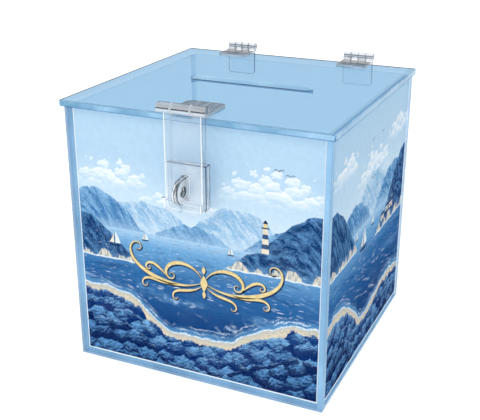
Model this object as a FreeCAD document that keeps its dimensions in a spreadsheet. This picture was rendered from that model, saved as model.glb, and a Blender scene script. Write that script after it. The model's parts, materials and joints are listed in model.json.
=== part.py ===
import FreeCAD, Part
import math
import os
import Sketcher

# A clear ballot box: five cemented panels, a slotted lid on two rear hinges and a front hasp for a padlock.
# It stands on z = 0 with its middle at x = y = 0 and its front towards -y. All sizes are in millimetres.

SIZES = {
    # Box and lid
    "box_wide": 200.0,
    "box_deep": 200.0,
    "wall_high": 200.0,
    "sheet_thick": 5.0,
    "lid_overhang": 2.5,
    "slot_long": 100.0,
    "slot_wide": 11.0,
    # Printed films inside the front and right panels
    "film_thick": 0.5,
    "film_margin": 0.5,
    # Rear hinges
    "hinge_spread": 106.0,
    "hinge_wide": 25.0,
    "hinge_leaf_thick": 2.0,
    "hinge_lid_leaf_deep": 21.0,
    "hinge_wall_leaf_tall": 18.0,
    "hinge_leaf_corner": 2.0,
    "hinge_barrel_radius": 3.0,
    "hinge_pin_radius": 1.2,
    "hinge_relief": 0.5,
    "hinge_head_gap": 0.5,
    "hinge_knuckle_gap": 0.3,
    # Hasp leaf and barrel on the lid
    "hasp_leaf_wide": 30.0,
    "hasp_leaf_deep": 30.0,
    "hasp_leaf_thick": 2.5,
    "hasp_leaf_corner": 5.0,
    "hasp_barrel_wide": 36.0,
    "hasp_barrel_radius": 3.75,
    "hasp_middle_knuckle": 14.0,
    "hasp_knuckle_gap": 0.4,
    "hasp_knuckle_clearance": 2.0,
    "hasp_pin_radius": 1.5,
    "hasp_axis_rise": 6.5,
    "hasp_relief": 4.0,
    # Hanging strap
    "strap_wide": 28.0,
    "strap_thick": 3.0,
    "strap_long": 72.5,
    "strap_corner": 4.0,
    "strap_set_back": 3.4,
    "rib_thick": 3.0,
    "rib_relief": 0.7,
    "rib_gap": 1.5,
    "toe_proud": 2.5,
    "toe_tall": 8.0,
    # Block and padlock eye on the front panel
    "block_wide": 30.0,
    "block_tall": 34.0,
    "block_corner": 4.0,
    "block_clearance": 0.6,
    "eye_thick": 4.0,
    "eye_tall": 17.5,
    "eye_proud": 13.2,
    "eye_seat": 3.0,
    "eye_clearance": 0.4,
    "eye_head_clearance": 2.0,
    "glue_gap": 0.05,
    "shackle_hole_radius": 3.5,
    "shackle_relief": 1.1,
    # Running fit of the pins, and how far cutting tools run past the metal or plastic
    "pin_clearance": 0.03,
    "overrun": 1.0,
}

HINGE_KNUCKLES = 4
SIDES = {"left": -1, "right": 1}


class Size:
    """A length: its value in millimetres and the sheet expression that gives it."""

    def __init__(self, value, text):
        self.value = value
        self.text = text

    def __add__(self, other):
        return Size(self.value + other.value, f"({self.text} + {other.text})")

    def __sub__(self, other):
        return Size(self.value - other.value, f"({self.text} - {other.text})")

    def __mul__(self, factor):
        return Size(self.value * factor, f"({self.text} * {factor})")

    def __truediv__(self, factor):
        return Size(self.value / factor, f"({self.text} / {factor})")

    def __neg__(self):
        return Size(-self.value, f"(0 - {self.text})")


class Arc:
    """A round stretch of an outline: where it ends, its centre, and which of the centre's coordinates is bound."""

    def __init__(self, end, centre, clockwise=False, held="x"):
        self.end = end
        self.centre = centre
        self.clockwise = clockwise
        self.held = held


ZERO = Size(0.0, "0")
doc = FreeCAD.newDocument("ballot_box")
sheet = doc.addObject("Spreadsheet::Sheet", "sizes")
for row, (alias, number) in enumerate(SIZES.items(), start=1):
    sheet.set(f"A{row}", alias)
    sheet.set(f"B{row}", str(number))
    sheet.setAlias(f"B{row}", alias)
doc.recompute()


def size(alias):
    """The named size of the sheet."""
    return Size(SIZES[alias], f"sizes.{alias}")


def bind(thing, prop, length):
    """Ties one property of an object to the sheet."""
    thing.setExpression(prop, length.text)


# Places that several pieces share
half_wide = size("box_wide") / 2
half_deep = size("box_deep") / 2
sheet_thick = size("sheet_thick")
wall_top = size("wall_high")
lid_top = wall_top + sheet_thick
front, back = -half_deep, half_deep
lid_front = front - size("lid_overhang")
inner_x = half_wide - sheet_thick
inner_y = half_deep - sheet_thick
overrun = size("overrun")

hinge_radius = size("hinge_barrel_radius")
hinge_y = back + size("hinge_relief") + hinge_radius
hinge_z = lid_top + size("hinge_leaf_thick") + hinge_radius
wall_leaf_head = lid_top - size("hinge_head_gap")

hasp_radius = size("hasp_barrel_radius")
hasp_y = lid_front - size("hasp_relief") - hasp_radius
hasp_z = lid_top + size("hasp_axis_rise")
strap_front = hasp_y - hasp_radius + size("strap_set_back")
strap_back = strap_front + size("strap_thick")
strap_foot = hasp_z - size("strap_long")
block_front = strap_back + size("block_clearance")
block_head = strap_foot + size("block_tall")
eye_middle = strap_foot + size("block_tall") / 2
fork_half = size("eye_thick") / 2 + size("eye_clearance")
fork_head = eye_middle + size("eye_tall") / 2 + size("eye_head_clearance")


def plate(label, low, high):
    """A plain sheet between two opposite corners."""
    piece = doc.addObject("Part::Box", label)
    piece.Label = label
    for prop, axis, start, end in zip(("Length", "Width", "Height"), "xyz", low, high):
        bind(piece, prop, end - start)
        bind(piece, f"Placement.Base.{axis}", start)
    return piece


def rod(label, radius, start, length):
    """A round pin that lies along x."""
    piece = doc.addObject("Part::Cylinder", label)
    piece.Label = label
    piece.Placement = FreeCAD.Placement(FreeCAD.Vector(), FreeCAD.Rotation(FreeCAD.Vector(0, 1, 0), 90))
    bind(piece, "Radius", radius)
    bind(piece, "Height", length)
    for axis, place in zip("xyz", start):
        bind(piece, f"Placement.Base.{axis}", place)
    return piece


def new_body(label):
    """An empty body with its label."""
    body = doc.addObject("PartDesign::Body", label)
    body.Label = label
    return body


def new_sketch(body, name, plane, height):
    """A sketch on one of the body's own planes, moved along the plane's normal.

    The normals of XY, XZ and YZ point along +z, -y and +x.
    """
    sketch = body.newObject("Sketcher::SketchObject", f"{body.Label}_{name}")
    origin = [part for part in body.Origin.OriginFeatures if part.Role == f"{plane}_Plane"]
    sketch.AttachmentSupport = [(origin[0], "")]
    sketch.MapMode = "FlatFace"
    bind(sketch, "AttachmentOffset.Base.z", height)
    return sketch


def hold(sketch, kind, geometry, end, length):
    """Binds one coordinate of a point of the sketch to the sheet."""
    index = sketch.addConstraint(Sketcher.Constraint(kind, -1, 1, geometry, end, length.value))
    sketch.renameConstraint(index, f"{kind}_{index}")
    bind(sketch, f"Constraints.{kind}_{index}", length)


def vector(point):
    """A point of a sketch as a plain vector."""
    return FreeCAD.Vector(point[0].value, point[1].value, 0)


def arc_geometry(start, arc):
    """The circle arc between two points, drawn counter-clockwise as sketches keep it."""
    centre = vector(arc.centre)
    spokes = [vector(start) - centre, vector(arc.end) - centre]
    if arc.clockwise:
        spokes.reverse()
    angles = [math.atan2(spoke.y, spoke.x) for spoke in spokes]
    circle = Part.Circle(centre, FreeCAD.Vector(0, 0, 1), spokes[0].Length)
    return Part.ArcOfCircle(circle, angles[0], angles[1])


def draw_outline(sketch, steps):
    """Draws a closed outline of lines and arcs and binds every corner and arc centre.

    Each step is the point where a line ends or an Arc. The outline starts where its last step ends.
    """
    ends = [step.end if isinstance(step, Arc) else step for step in steps]
    starts = ends[-1:] + ends[:-1]
    exits = []
    entries = []
    for start, end, step in zip(starts, ends, steps):
        if isinstance(step, Arc):
            index = sketch.addGeometry(arc_geometry(start, step))
            entries.append((index, 2 if step.clockwise else 1))
            exits.append((index, 1 if step.clockwise else 2))
            held = step.centre[0] if step.held == "x" else step.centre[1]
            hold(sketch, f"Distance{step.held.upper()}", index, 3, held)
        else:
            index = sketch.addGeometry(Part.LineSegment(vector(start), vector(end)))
            entries.append((index, 1))
            exits.append((index, 2))
        hold(sketch, "DistanceX", *exits[-1], end[0])
        hold(sketch, "DistanceY", *exits[-1], end[1])
    for leave, enter in zip(exits, entries[1:] + entries[:1]):
        sketch.addConstraint(Sketcher.Constraint("Coincident", *leave, *enter))


def draw_circle(sketch, centre, radius):
    """Draws a full circle and binds its centre and radius."""
    circle = Part.Circle(vector(centre), FreeCAD.Vector(0, 0, 1), radius.value)
    index = sketch.addGeometry(circle)
    hold(sketch, "DistanceX", index, 3, centre[0])
    hold(sketch, "DistanceY", index, 3, centre[1])
    limit = sketch.addConstraint(Sketcher.Constraint("Radius", index, radius.value))
    sketch.renameConstraint(limit, f"Radius_{limit}")
    bind(sketch, f"Constraints.Radius_{limit}", radius)


def rectangle(low, high):
    """The steps of a square-cornered outline, counter-clockwise."""
    return [(high[0], low[1]), (high[0], high[1]), (low[0], high[1]), (low[0], low[1])]


def foot_rounded(low, high, corner):
    """A rectangle whose two lower corners are rounded."""
    left, right, foot = low[0], high[0], low[1]
    return [
        (right - corner, foot),
        Arc((right, foot + corner), (right - corner, foot + corner)),
        (right, high[1]),
        (left, high[1]),
        (left, foot + corner),
        Arc((left + corner, foot), (left + corner, foot + corner)),
    ]


def head_rounded(low, high, corner):
    """A rectangle whose two upper corners are rounded."""
    left, right, head = low[0], high[0], high[1]
    return [
        (right, low[1]),
        (right, head - corner),
        Arc((right - corner, head), (right - corner, head - corner)),
        (left + corner, head),
        Arc((left, head - corner), (left + corner, head - corner)),
        (left, low[1]),
    ]


def add(body, name, plane, height, steps, length):
    """Pads an outline along its plane's normal."""
    sketch = new_sketch(body, name, plane, height)
    draw_outline(sketch, steps)
    return extrude(body, f"{name}_pad", "PartDesign::Pad", sketch, length)


def add_round(body, name, height, centre, radius, length):
    """Pads a circle along x."""
    sketch = new_sketch(body, name, "YZ", height)
    draw_circle(sketch, centre, radius)
    return extrude(body, f"{name}_pad", "PartDesign::Pad", sketch, length)


def cut(body, name, plane, height, steps, length):
    """Cuts an outline away along its plane's normal."""
    sketch = new_sketch(body, name, plane, height)
    draw_outline(sketch, steps)
    return cut_away(body, name, sketch, length)


def cut_round(body, name, height, centre, radius, length):
    """Cuts a round hole along x."""
    sketch = new_sketch(body, name, "YZ", height)
    draw_circle(sketch, centre, radius)
    return cut_away(body, name, sketch, length)


def extrude(body, name, kind, sketch, length):
    """A pad or pocket of a sketch, tied to the sheet."""
    feature = body.newObject(kind, f"{body.Label}_{name}")
    feature.Profile = sketch
    bind(feature, "Length", length)
    return feature


def cut_away(body, name, sketch, length):
    """A pocket that must take material off."""
    before = body.Tip
    doc.recompute()
    pocket = extrude(body, f"{name}_pocket", "PartDesign::Pocket", sketch, length)
    pocket.Reversed = True
    doc.recompute()
    if pocket.Shape.Volume >= before.Shape.Volume:
        raise ValueError(f"{pocket.Name} cuts nothing")
    return pocket


def make_panels():
    """The base and the four walls: the front and back cover the ends of the sides, and the base lies within."""
    return [
        plate("base_panel", (-inner_x, -inner_y, ZERO), (inner_x, inner_y, sheet_thick)),
        plate("front_panel", (-half_wide, front, ZERO), (half_wide, -inner_y, wall_top)),
        plate("back_panel", (-half_wide, inner_y, ZERO), (half_wide, back, wall_top)),
        plate("left_panel", (-half_wide, -inner_y, ZERO), (-inner_x, inner_y, wall_top)),
        plate("right_panel", (inner_x, -inner_y, ZERO), (half_wide, inner_y, wall_top)),
    ]


def make_films():
    """The printed films on the inner faces of the front and right panels."""
    margin = size("film_margin")
    film = size("film_thick")
    low_z = sheet_thick + margin
    high_z = wall_top - margin
    behind_front = film - inner_y
    return [
        plate(
            "front_print_film",
            (margin - inner_x, -inner_y, low_z),
            (inner_x - margin, behind_front, high_z),
        ),
        plate(
            "right_print_film",
            (inner_x - film, behind_front + margin, low_z),
            (inner_x, inner_y - margin, high_z),
        ),
    ]


def make_lid():
    """The lid sheet with its ballot slot over the middle of the box."""
    lid = new_body("lid_panel")
    lid_half = half_wide + size("lid_overhang")
    add(lid, "outline", "XY", wall_top, rectangle((-lid_half, lid_front), (lid_half, back)), sheet_thick)
    radius = size("slot_wide") / 2
    reach = size("slot_long") / 2 - radius
    slot = [
        (reach, -radius),
        Arc((reach, radius), (reach, ZERO)),
        (-reach, radius),
        Arc((-reach, -radius), (-reach, ZERO)),
    ]
    cut(lid, "slot", "XY", wall_top - overrun, slot, sheet_thick + overrun * 2)
    return [lid]


def finish_knuckles(leaf, start_x, cut_y, cut_z, first_gap):
    """Gives a hinge leaf its barrel, cuts out the other leaf's knuckles and bores it for the pin."""
    wide = size("hinge_wide")
    axis = (hinge_y, hinge_z)
    add_round(leaf, "barrel", start_x, axis, hinge_radius, wide)
    knuckle = wide / HINGE_KNUCKLES
    side_gap = size("hinge_knuckle_gap") / 2
    for index in range(first_gap, HINGE_KNUCKLES, 2):
        outer_left = overrun if index == 0 else side_gap
        outer_right = overrun if index == HINGE_KNUCKLES - 1 else side_gap
        low = (start_x + knuckle * index - outer_left, cut_y)
        high = (start_x + knuckle * (index + 1) + outer_right, hinge_y + hinge_radius + overrun)
        height = hinge_z + hinge_radius + overrun - cut_z
        cut(leaf, f"gap_{index}", "XY", cut_z, rectangle(low, high), height)
    bore = size("hinge_pin_radius") + size("pin_clearance")
    cut_round(leaf, "bore", start_x - overrun, axis, bore, wide + overrun * 2)


def make_lid_leaf(side, start_x):
    """A hinge leaf that lies on the lid and rises to the barrel."""
    leaf = new_body(f"hinge_lid_leaf_{side}")
    wide = size("hinge_wide")
    thick = size("hinge_leaf_thick")
    low = (start_x, back - size("hinge_lid_leaf_deep"))
    corner = size("hinge_leaf_corner")
    add(leaf, "flat", "XY", lid_top, foot_rounded(low, (start_x + wide, back), corner), thick)
    neck = [
        (hinge_y, hinge_z - hinge_radius),
        (hinge_y, hinge_z),
        (hinge_y - hinge_radius, hinge_z),
        (back, lid_top + thick),
        (back, lid_top),
    ]
    add(leaf, "neck", "YZ", start_x, neck, wide)
    finish_knuckles(leaf, start_x, back, lid_top - overrun, 1)
    return leaf


def make_wall_leaf(side, start_x):
    """A hinge leaf that lies on the back panel and reaches up behind the lid to the barrel."""
    leaf = new_body(f"hinge_wall_leaf_{side}")
    wide = size("hinge_wide")
    thick = size("hinge_leaf_thick")
    low = (start_x, wall_leaf_head - size("hinge_wall_leaf_tall"))
    high = (start_x + wide, wall_leaf_head)
    corner = size("hinge_leaf_corner")
    add(leaf, "flat", "XZ", -(back + thick), foot_rounded(low, high, corner), thick)
    neck = [
        (back + thick, wall_leaf_head),
        (hinge_y, hinge_z - hinge_radius),
        (hinge_y, hinge_z),
        (hinge_y - hinge_radius, hinge_z),
        (hinge_y - hinge_radius, wall_leaf_head),
    ]
    add(leaf, "neck", "YZ", start_x, neck, wide)
    finish_knuckles(leaf, start_x, back - overrun, wall_leaf_head, 0)
    return leaf


def make_hinges():
    """Two rear hinges, each of a lid leaf, a wall leaf and a pin."""
    pieces = []
    for side, sign in SIDES.items():
        start_x = size("hinge_spread") / 2 * sign - size("hinge_wide") / 2
        pieces.append(make_lid_leaf(side, start_x))
        pieces.append(make_wall_leaf(side, start_x))
        pin_start = (start_x, hinge_y, hinge_z)
        pieces.append(rod(f"hinge_pin_{side}", size("hinge_pin_radius"), pin_start, size("hinge_wide")))
    return pieces


def make_hasp_leaf():
    """The hasp's leaf on the lid, with the middle knuckle of the front barrel."""
    leaf = new_body("hasp_lid_leaf")
    half_leaf = size("hasp_leaf_wide") / 2
    half_knuckle = size("hasp_middle_knuckle") / 2
    thick = size("hasp_leaf_thick")
    high = (half_leaf, lid_front + size("hasp_leaf_deep"))
    corner = size("hasp_leaf_corner")
    add(leaf, "flat", "XY", lid_top, head_rounded((-half_leaf, lid_front), high, corner), thick)
    neck = [
        (lid_front, lid_top),
        (lid_front, lid_top + thick),
        (hasp_y + hasp_radius, hasp_z),
        (hasp_y, hasp_z),
        (hasp_y, hasp_z - hasp_radius),
    ]
    add(leaf, "neck", "YZ", -half_knuckle, neck, half_knuckle * 2)
    axis = (hasp_y, hasp_z)
    add_round(leaf, "knuckle", -half_knuckle, axis, hasp_radius, half_knuckle * 2)
    bore = size("hasp_pin_radius") + size("pin_clearance")
    cut_round(leaf, "bore", -half_knuckle - overrun, axis, bore, (half_knuckle + overrun) * 2)
    return leaf


def make_strap():
    """The hanging strap: two end knuckles, a ribbed plate, and a fork with a toe that straddles the eye."""
    strap = new_body("hasp_strap")
    half_strap = size("strap_wide") / 2
    corner = size("strap_corner")
    shoulder = fork_head - fork_half
    fork = [
        (-half_strap, strap_foot + corner),
        Arc((corner - half_strap, strap_foot), (corner - half_strap, strap_foot + corner)),
        (-fork_half, strap_foot),
        (-fork_half, shoulder),
        Arc((fork_half, shoulder), (ZERO, shoulder), clockwise=True, held="y"),
        (fork_half, strap_foot),
        (half_strap - corner, strap_foot),
        Arc((half_strap, strap_foot + corner), (half_strap - corner, strap_foot + corner)),
    ]
    head = [(half_strap, hasp_z), (-half_strap, hasp_z)]
    add(strap, "plate", "XZ", -strap_back, fork + head, size("strap_thick"))
    rib_back = lid_front - size("rib_relief")
    rib_foot = block_head + size("rib_gap")
    rib_head = hasp_z - hasp_radius / 2
    for side, sign in SIDES.items():
        outer = half_strap * sign
        inner = (half_strap - size("rib_thick")) * sign
        left, right = (outer, inner) if sign < 0 else (inner, outer)
        rib = rectangle((left, rib_foot), (right, rib_head))
        add(strap, f"rib_{side}", "XZ", -rib_back, rib, rib_back - strap_back)
    half_barrel = size("hasp_barrel_wide") / 2
    axis = (hasp_y, hasp_z)
    add_round(strap, "barrel", -half_barrel, axis, hasp_radius, half_barrel * 2)
    half_gap = size("hasp_middle_knuckle") / 2 + size("hasp_knuckle_gap")
    gap_foot = hasp_z - hasp_radius - size("hasp_knuckle_clearance")
    gap_low = (-half_gap, hasp_y - hasp_radius - overrun)
    gap_high = (half_gap, hasp_y + hasp_radius + overrun)
    gap_tall = hasp_z + hasp_radius + overrun - gap_foot
    cut(strap, "middle_gap", "XY", gap_foot, rectangle(gap_low, gap_high), gap_tall)
    bore = size("hasp_pin_radius") + size("pin_clearance")
    cut_round(strap, "bore", -half_barrel - overrun, axis, bore, (half_barrel + overrun) * 2)
    toe_head = strap_foot + size("toe_tall")
    toe = {
        "left": [
            (-half_strap, strap_foot + corner),
            Arc((corner - half_strap, strap_foot), (corner - half_strap, strap_foot + corner)),
            (-fork_half, strap_foot),
            (-fork_half, toe_head),
            (-half_strap, toe_head),
        ],
        "right": [
            (fork_half, strap_foot),
            (half_strap - corner, strap_foot),
            Arc((half_strap, strap_foot + corner), (half_strap - corner, strap_foot + corner)),
            (half_strap, toe_head),
            (fork_half, toe_head),
        ],
    }
    for side in SIDES:
        add(strap, f"toe_{side}", "XZ", -strap_front, toe[side], size("toe_proud"))
    return strap


def make_staple():
    """The block on the front panel and the half-round padlock eye that is cemented into it."""
    block = new_body("hasp_block")
    half_block = size("block_wide") / 2
    corner = size("block_corner")
    low = (-half_block, strap_foot)
    high = (half_block, block_head)
    add(block, "outline", "XZ", -front, foot_rounded(low, high, corner), front - block_front)
    eye_half = size("eye_thick") / 2
    eye_radius = size("eye_tall") / 2
    seat_half = eye_half + size("glue_gap")
    seat_low = (-seat_half, eye_middle - eye_radius - size("glue_gap"))
    seat_high = (seat_half, eye_middle + eye_radius + size("glue_gap"))
    seat = block_front + size("eye_seat")
    cut(block, "seat", "XZ", -seat, rectangle(seat_low, seat_high), size("eye_seat") + overrun)
    eye = new_body("padlock_eye")
    round_y = strap_front - size("eye_proud") + eye_radius
    outline = [
        (seat, eye_middle + eye_radius),
        (round_y, eye_middle + eye_radius),
        Arc((round_y, eye_middle - eye_radius), (round_y, eye_middle)),
        (seat, eye_middle - eye_radius),
    ]
    add(eye, "outline", "YZ", -eye_half, outline, size("eye_thick"))
    hole_radius = size("shackle_hole_radius")
    hole = (strap_front - size("shackle_relief") - hole_radius, eye_middle)
    cut_round(eye, "shackle_hole", -eye_half - overrun, hole, hole_radius, (eye_half + overrun) * 2)
    return [block, eye]


def make_hasp():
    """The whole hasp."""
    pin_start = (-size("hasp_barrel_wide") / 2, hasp_y, hasp_z)
    pin = rod("hasp_pin", size("hasp_pin_radius"), pin_start, size("hasp_barrel_wide"))
    return [make_hasp_leaf(), make_strap(), pin] + make_staple()


def check_document():
    """Stops at any object that failed to compute."""
    for thing in doc.Objects:
        if {"Invalid", "Error"} & set(thing.State):
            raise RuntimeError(f"{thing.Name} failed: {thing.State}")


def check_piece(piece):
    """Stops at a piece that isn't one valid solid."""
    shape = piece.Shape
    if shape.isNull() or not shape.isValid() or len(shape.Solids) != 1:
        raise RuntimeError(f"{piece.Label} isn't one valid solid")


pieces = make_panels() + make_films() + make_lid() + make_hinges() + make_hasp()
doc.recompute()
check_document()
for piece in pieces:
    check_piece(piece)
os.makedirs("parts", exist_ok=True)
for piece in pieces:
    piece.Shape.exportStep(f"parts/{piece.Label}.step")
    bounds = piece.Shape.BoundBox
    print(f"{piece.Label}: {piece.Shape.Volume:.1f} mm3, z {bounds.ZMin:.2f} to {bounds.ZMax:.2f}")
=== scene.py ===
"""A see-through ballot box: tinted acrylic sheet, printed films, moulded hinges and a padlock hasp.

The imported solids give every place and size. Each one is rebuilt here with eased edges and its own
finish, the two printed films get their picture and gold scrollwork, and a pale studio lights the box.
"""

import json
import logging
import math
from collections.abc import Iterable, Mapping, Sequence
from dataclasses import dataclass, field
from enum import Enum, IntEnum
from functools import cache
from typing import Optional, Union

import bmesh
import bpy
from mathutils import Matrix, Vector


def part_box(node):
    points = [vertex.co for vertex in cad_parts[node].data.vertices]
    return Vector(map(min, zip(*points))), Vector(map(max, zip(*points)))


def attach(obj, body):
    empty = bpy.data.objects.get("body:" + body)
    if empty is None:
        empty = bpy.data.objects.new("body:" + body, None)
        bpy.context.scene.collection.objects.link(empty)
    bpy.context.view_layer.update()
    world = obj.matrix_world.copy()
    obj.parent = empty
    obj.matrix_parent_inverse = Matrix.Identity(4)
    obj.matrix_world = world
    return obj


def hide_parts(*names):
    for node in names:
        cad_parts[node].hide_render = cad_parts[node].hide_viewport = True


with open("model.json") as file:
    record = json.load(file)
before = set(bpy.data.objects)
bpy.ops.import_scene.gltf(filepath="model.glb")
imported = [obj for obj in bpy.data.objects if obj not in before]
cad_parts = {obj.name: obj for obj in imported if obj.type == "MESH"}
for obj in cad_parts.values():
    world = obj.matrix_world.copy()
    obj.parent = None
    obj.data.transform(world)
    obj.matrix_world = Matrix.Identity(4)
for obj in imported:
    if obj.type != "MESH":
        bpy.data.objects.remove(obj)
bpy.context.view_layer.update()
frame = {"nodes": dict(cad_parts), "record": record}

MM = 0.001
LOG = logging.getLogger("ballot_box")

Colour = tuple[float, float, float, float]
Flat = tuple[float, float]
Spot = tuple[float, float, float]

# Distances in metres within which corners are merged, and within which a cut takes a corner that it passes
WELD = 1e-6
CUT_SNAP = 1e-7
# The angle in degrees below which two faces count as one flat face
FLAT_ANGLE = 0.5
# Shares of a face's normal along an axis: it leans that way, faces it, or faces it squarely
LEANS = 0.1
FACES = 0.5
SQUARE_ON = 0.9
# How much of the lid's tint is left in its right-hand band, by channel: a painted darker band that stands in
# for the right wall's top edge seen bent through the lid
BAND_SHARES = (0.87, 0.88, 0.885, 1.0)


def screen(red: int, green: int, blue: int) -> Colour:
    """Turns a screen colour into the linear colour that shaders use.

    Args:
        red: Red from 0 to 255.
        green: Green from 0 to 255.
        blue: Blue from 0 to 255.

    Returns:
        The linear colour with full alpha.
    """
    def linear(level: int) -> float:
        """One channel made linear."""
        share = level / 255
        return share / 12.92 if share <= 0.04045 else ((share + 0.055) / 1.055) ** 2.4

    return (linear(red), linear(green), linear(blue), 1.0)


@dataclass(frozen=True)
class Wire:
    """A value, colour or vector that runs between shader nodes, with ordinary arithmetic."""

    bench: "Bench"
    socket: bpy.types.NodeSocket

    def __add__(self, other: "Operand") -> "Wire":
        """The sum."""
        return self.bench.math("ADD", self, other)

    def __radd__(self, other: float) -> "Wire":
        """The sum with a plain number in front."""
        return self.bench.math("ADD", other, self)

    def __sub__(self, other: "Operand") -> "Wire":
        """The difference."""
        return self.bench.math("SUBTRACT", self, other)

    def __rsub__(self, other: float) -> "Wire":
        """The difference from a plain number."""
        return self.bench.math("SUBTRACT", other, self)

    def __mul__(self, other: "Operand") -> "Wire":
        """The product."""
        return self.bench.math("MULTIPLY", self, other)

    def __rmul__(self, other: float) -> "Wire":
        """The product with a plain number in front."""
        return self.bench.math("MULTIPLY", other, self)

    def __truediv__(self, other: "Operand") -> "Wire":
        """The quotient."""
        return self.bench.math("DIVIDE", self, other)

    def __rtruediv__(self, other: float) -> "Wire":
        """A plain number divided by this."""
        return self.bench.math("DIVIDE", other, self)


Operand = Union[Wire, float]
Feed = Union[Wire, float, Sequence[float]]
Inputs = Mapping[Union[int, str], Feed]


class MixSocket(IntEnum):
    """Where a Mix node keeps its share, its two colours and their blend."""

    SHARE = 0
    FIRST = 6
    SECOND = 7
    RESULT = 2


class Bench:
    """Lays out and joins the nodes of one shader tree."""

    def __init__(self, tree: bpy.types.NodeTree) -> None:
        """Takes the tree to work on."""
        self.tree = tree

    def node(self, kind: str, inputs: Optional[Inputs] = None, **settings: object) -> bpy.types.Node:
        """Adds a node.

        Args:
            kind: The node's type name.
            inputs: What its inputs take, by name or number.
            **settings: Properties to set on it first.

        Returns:
            The new node.
        """
        made = self.tree.nodes.new(kind)
        for name, value in settings.items():
            setattr(made, name, value)
        for label, value in (inputs or {}).items():
            self.feed(made.inputs[label], value)
        return made

    def feed(self, socket: bpy.types.NodeSocket, value: Feed) -> None:
        """Joins a wire to a socket, or sets the socket's own value."""
        if isinstance(value, Wire):
            self.tree.links.new(value.socket, socket)
        else:
            socket.default_value = value

    def wire(self, node: bpy.types.Node, output: Union[int, str] = 0) -> Wire:
        """The wire that leaves a node's output."""
        return Wire(self, node.outputs[output])

    def math(self, operation: str, *values: Operand, clamp: bool = False) -> Wire:
        """Adds a Math node.

        Args:
            operation: The operation's name.
            *values: Its wires or numbers in order.
            clamp: Whether the result is held between 0 and 1.

        Returns:
            The result.
        """
        inputs = dict(enumerate(values))
        return self.wire(self.node("ShaderNodeMath", inputs, operation=operation, use_clamp=clamp))

    def highest(self, first: Operand, second: Operand) -> Wire:
        """The larger of two values."""
        return self.math("MAXIMUM", first, second)

    def share(self, value: Operand) -> Wire:
        """The value held between 0 and 1."""
        return self.math("ADD", value, 0.0, clamp=True)

    def smooth(self, value: Operand, low: Operand, high: Operand) -> Wire:
        """Rises smoothly from 0 at low to 1 at high.

        Args:
            value: What is measured.
            low: Where the rise starts.
            high: Where it ends.

        Returns:
            The share.
        """
        inputs = {"Value": value, "From Min": low, "From Max": high}
        return self.wire(self.node("ShaderNodeMapRange", inputs, interpolation_type="SMOOTHSTEP"))

    def bell(self, value: Operand, middle: Operand, reach: Operand) -> Wire:
        """A rounded hump: 1 at the middle and 0 at the reach and beyond.

        Args:
            value: What is measured.
            middle: Where the hump is highest.
            reach: The hump's half width.

        Returns:
            The hump's height.
        """
        offset = self.math("DIVIDE", self.math("SUBTRACT", value, middle), reach)
        return self.highest(1.0 - offset * offset, 0.0)

    def point(self, x: Operand, y: Operand, z: Operand = 0.0) -> Wire:
        """Joins three values into a vector."""
        return self.wire(self.node("ShaderNodeCombineXYZ", {"X": x, "Y": y, "Z": z}))

    def split(self, vector: Wire) -> tuple[Wire, Wire, Wire]:
        """Parts a vector into its three values."""
        made = self.node("ShaderNodeSeparateXYZ", {"Vector": vector})
        return self.wire(made, "X"), self.wire(made, "Y"), self.wire(made, "Z")

    def place(self) -> Wire:
        """The object's own coordinates in millimetres."""
        metres = self.wire(self.node("ShaderNodeTexCoord"), "Object")
        return self.wire(self.node("ShaderNodeVectorMath", {0: metres, "Scale": 1 / MM}, operation="SCALE"))

    def noise(self, vector: Wire, scale: Operand, detail: float = 2.0, roughness: float = 0.5) -> Wire:
        """Soft noise around a half.

        Args:
            vector: Where it is read.
            scale: Blobs to a unit of length.
            detail: Finer layers added.
            roughness: How strong those layers are.

        Returns:
            The noise's value.
        """
        inputs = {"Vector": vector, "Scale": scale, "Detail": detail, "Roughness": roughness}
        return self.wire(self.node("ShaderNodeTexNoise", inputs))

    def cells(self, vector: Wire, scale: float) -> tuple[Wire, Wire]:
        """Round clumps scattered over the plane.

        Args:
            vector: Where they are read.
            scale: Clumps to a unit of length.

        Returns:
            The distance from the nearest clump's middle, and the rise above it, both in clump sizes.
        """
        made = self.node("ShaderNodeTexVoronoi", {"Vector": vector, "Scale": scale}, voronoi_dimensions="2D")
        height = self.split(vector)[1]
        middle = self.split(self.wire(made, "Position"))[1]
        return self.wire(made, "Distance"), (height - middle) * scale

    def ramp(self, value: Operand, stops: Iterable[tuple[float, Colour]]) -> Wire:
        """A colour read from a row of stops.

        Args:
            value: Where to read, from 0 to 1.
            stops: Each stop's place and colour, in order.

        Returns:
            The colour.
        """
        made = self.node("ShaderNodeValToRGB")
        row = made.color_ramp.elements
        for index, (place, colour) in enumerate(stops):
            stop = row[index] if index < len(row) else row.new(place)
            stop.position = place
            stop.color = colour
        self.feed(made.inputs[0], value)
        return self.wire(made)

    def mix(self, share: Operand, first: Feed, second: Feed, blend: str = "MIX") -> Wire:
        """Blends two colours.

        Args:
            share: How much of the second one.
            first: The colour underneath.
            second: The colour laid over it.
            blend: The way of blending.

        Returns:
            The blended colour.
        """
        inputs = {MixSocket.SHARE: share, MixSocket.FIRST: first, MixSocket.SECOND: second}
        made = self.node("ShaderNodeMix", inputs, data_type="RGBA", blend_type=blend)
        return self.wire(made, MixSocket.RESULT)

    def bump(self, height: Wire, depth: float, strength: float = 1.0) -> Wire:
        """A normal tilted by a height.

        Args:
            height: The height, from 0 to 1.
            depth: The height's full size in metres.
            strength: How much of the tilt shows.

        Returns:
            The normal.
        """
        inputs = {"Strength": strength, "Distance": depth, "Height": height}
        return self.wire(self.node("ShaderNodeBump", inputs))

    def principled(self, inputs: Inputs) -> Wire:
        """A Principled shader with the inputs that it takes."""
        return self.wire(self.node("ShaderNodeBsdfPrincipled", inputs))

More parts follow.
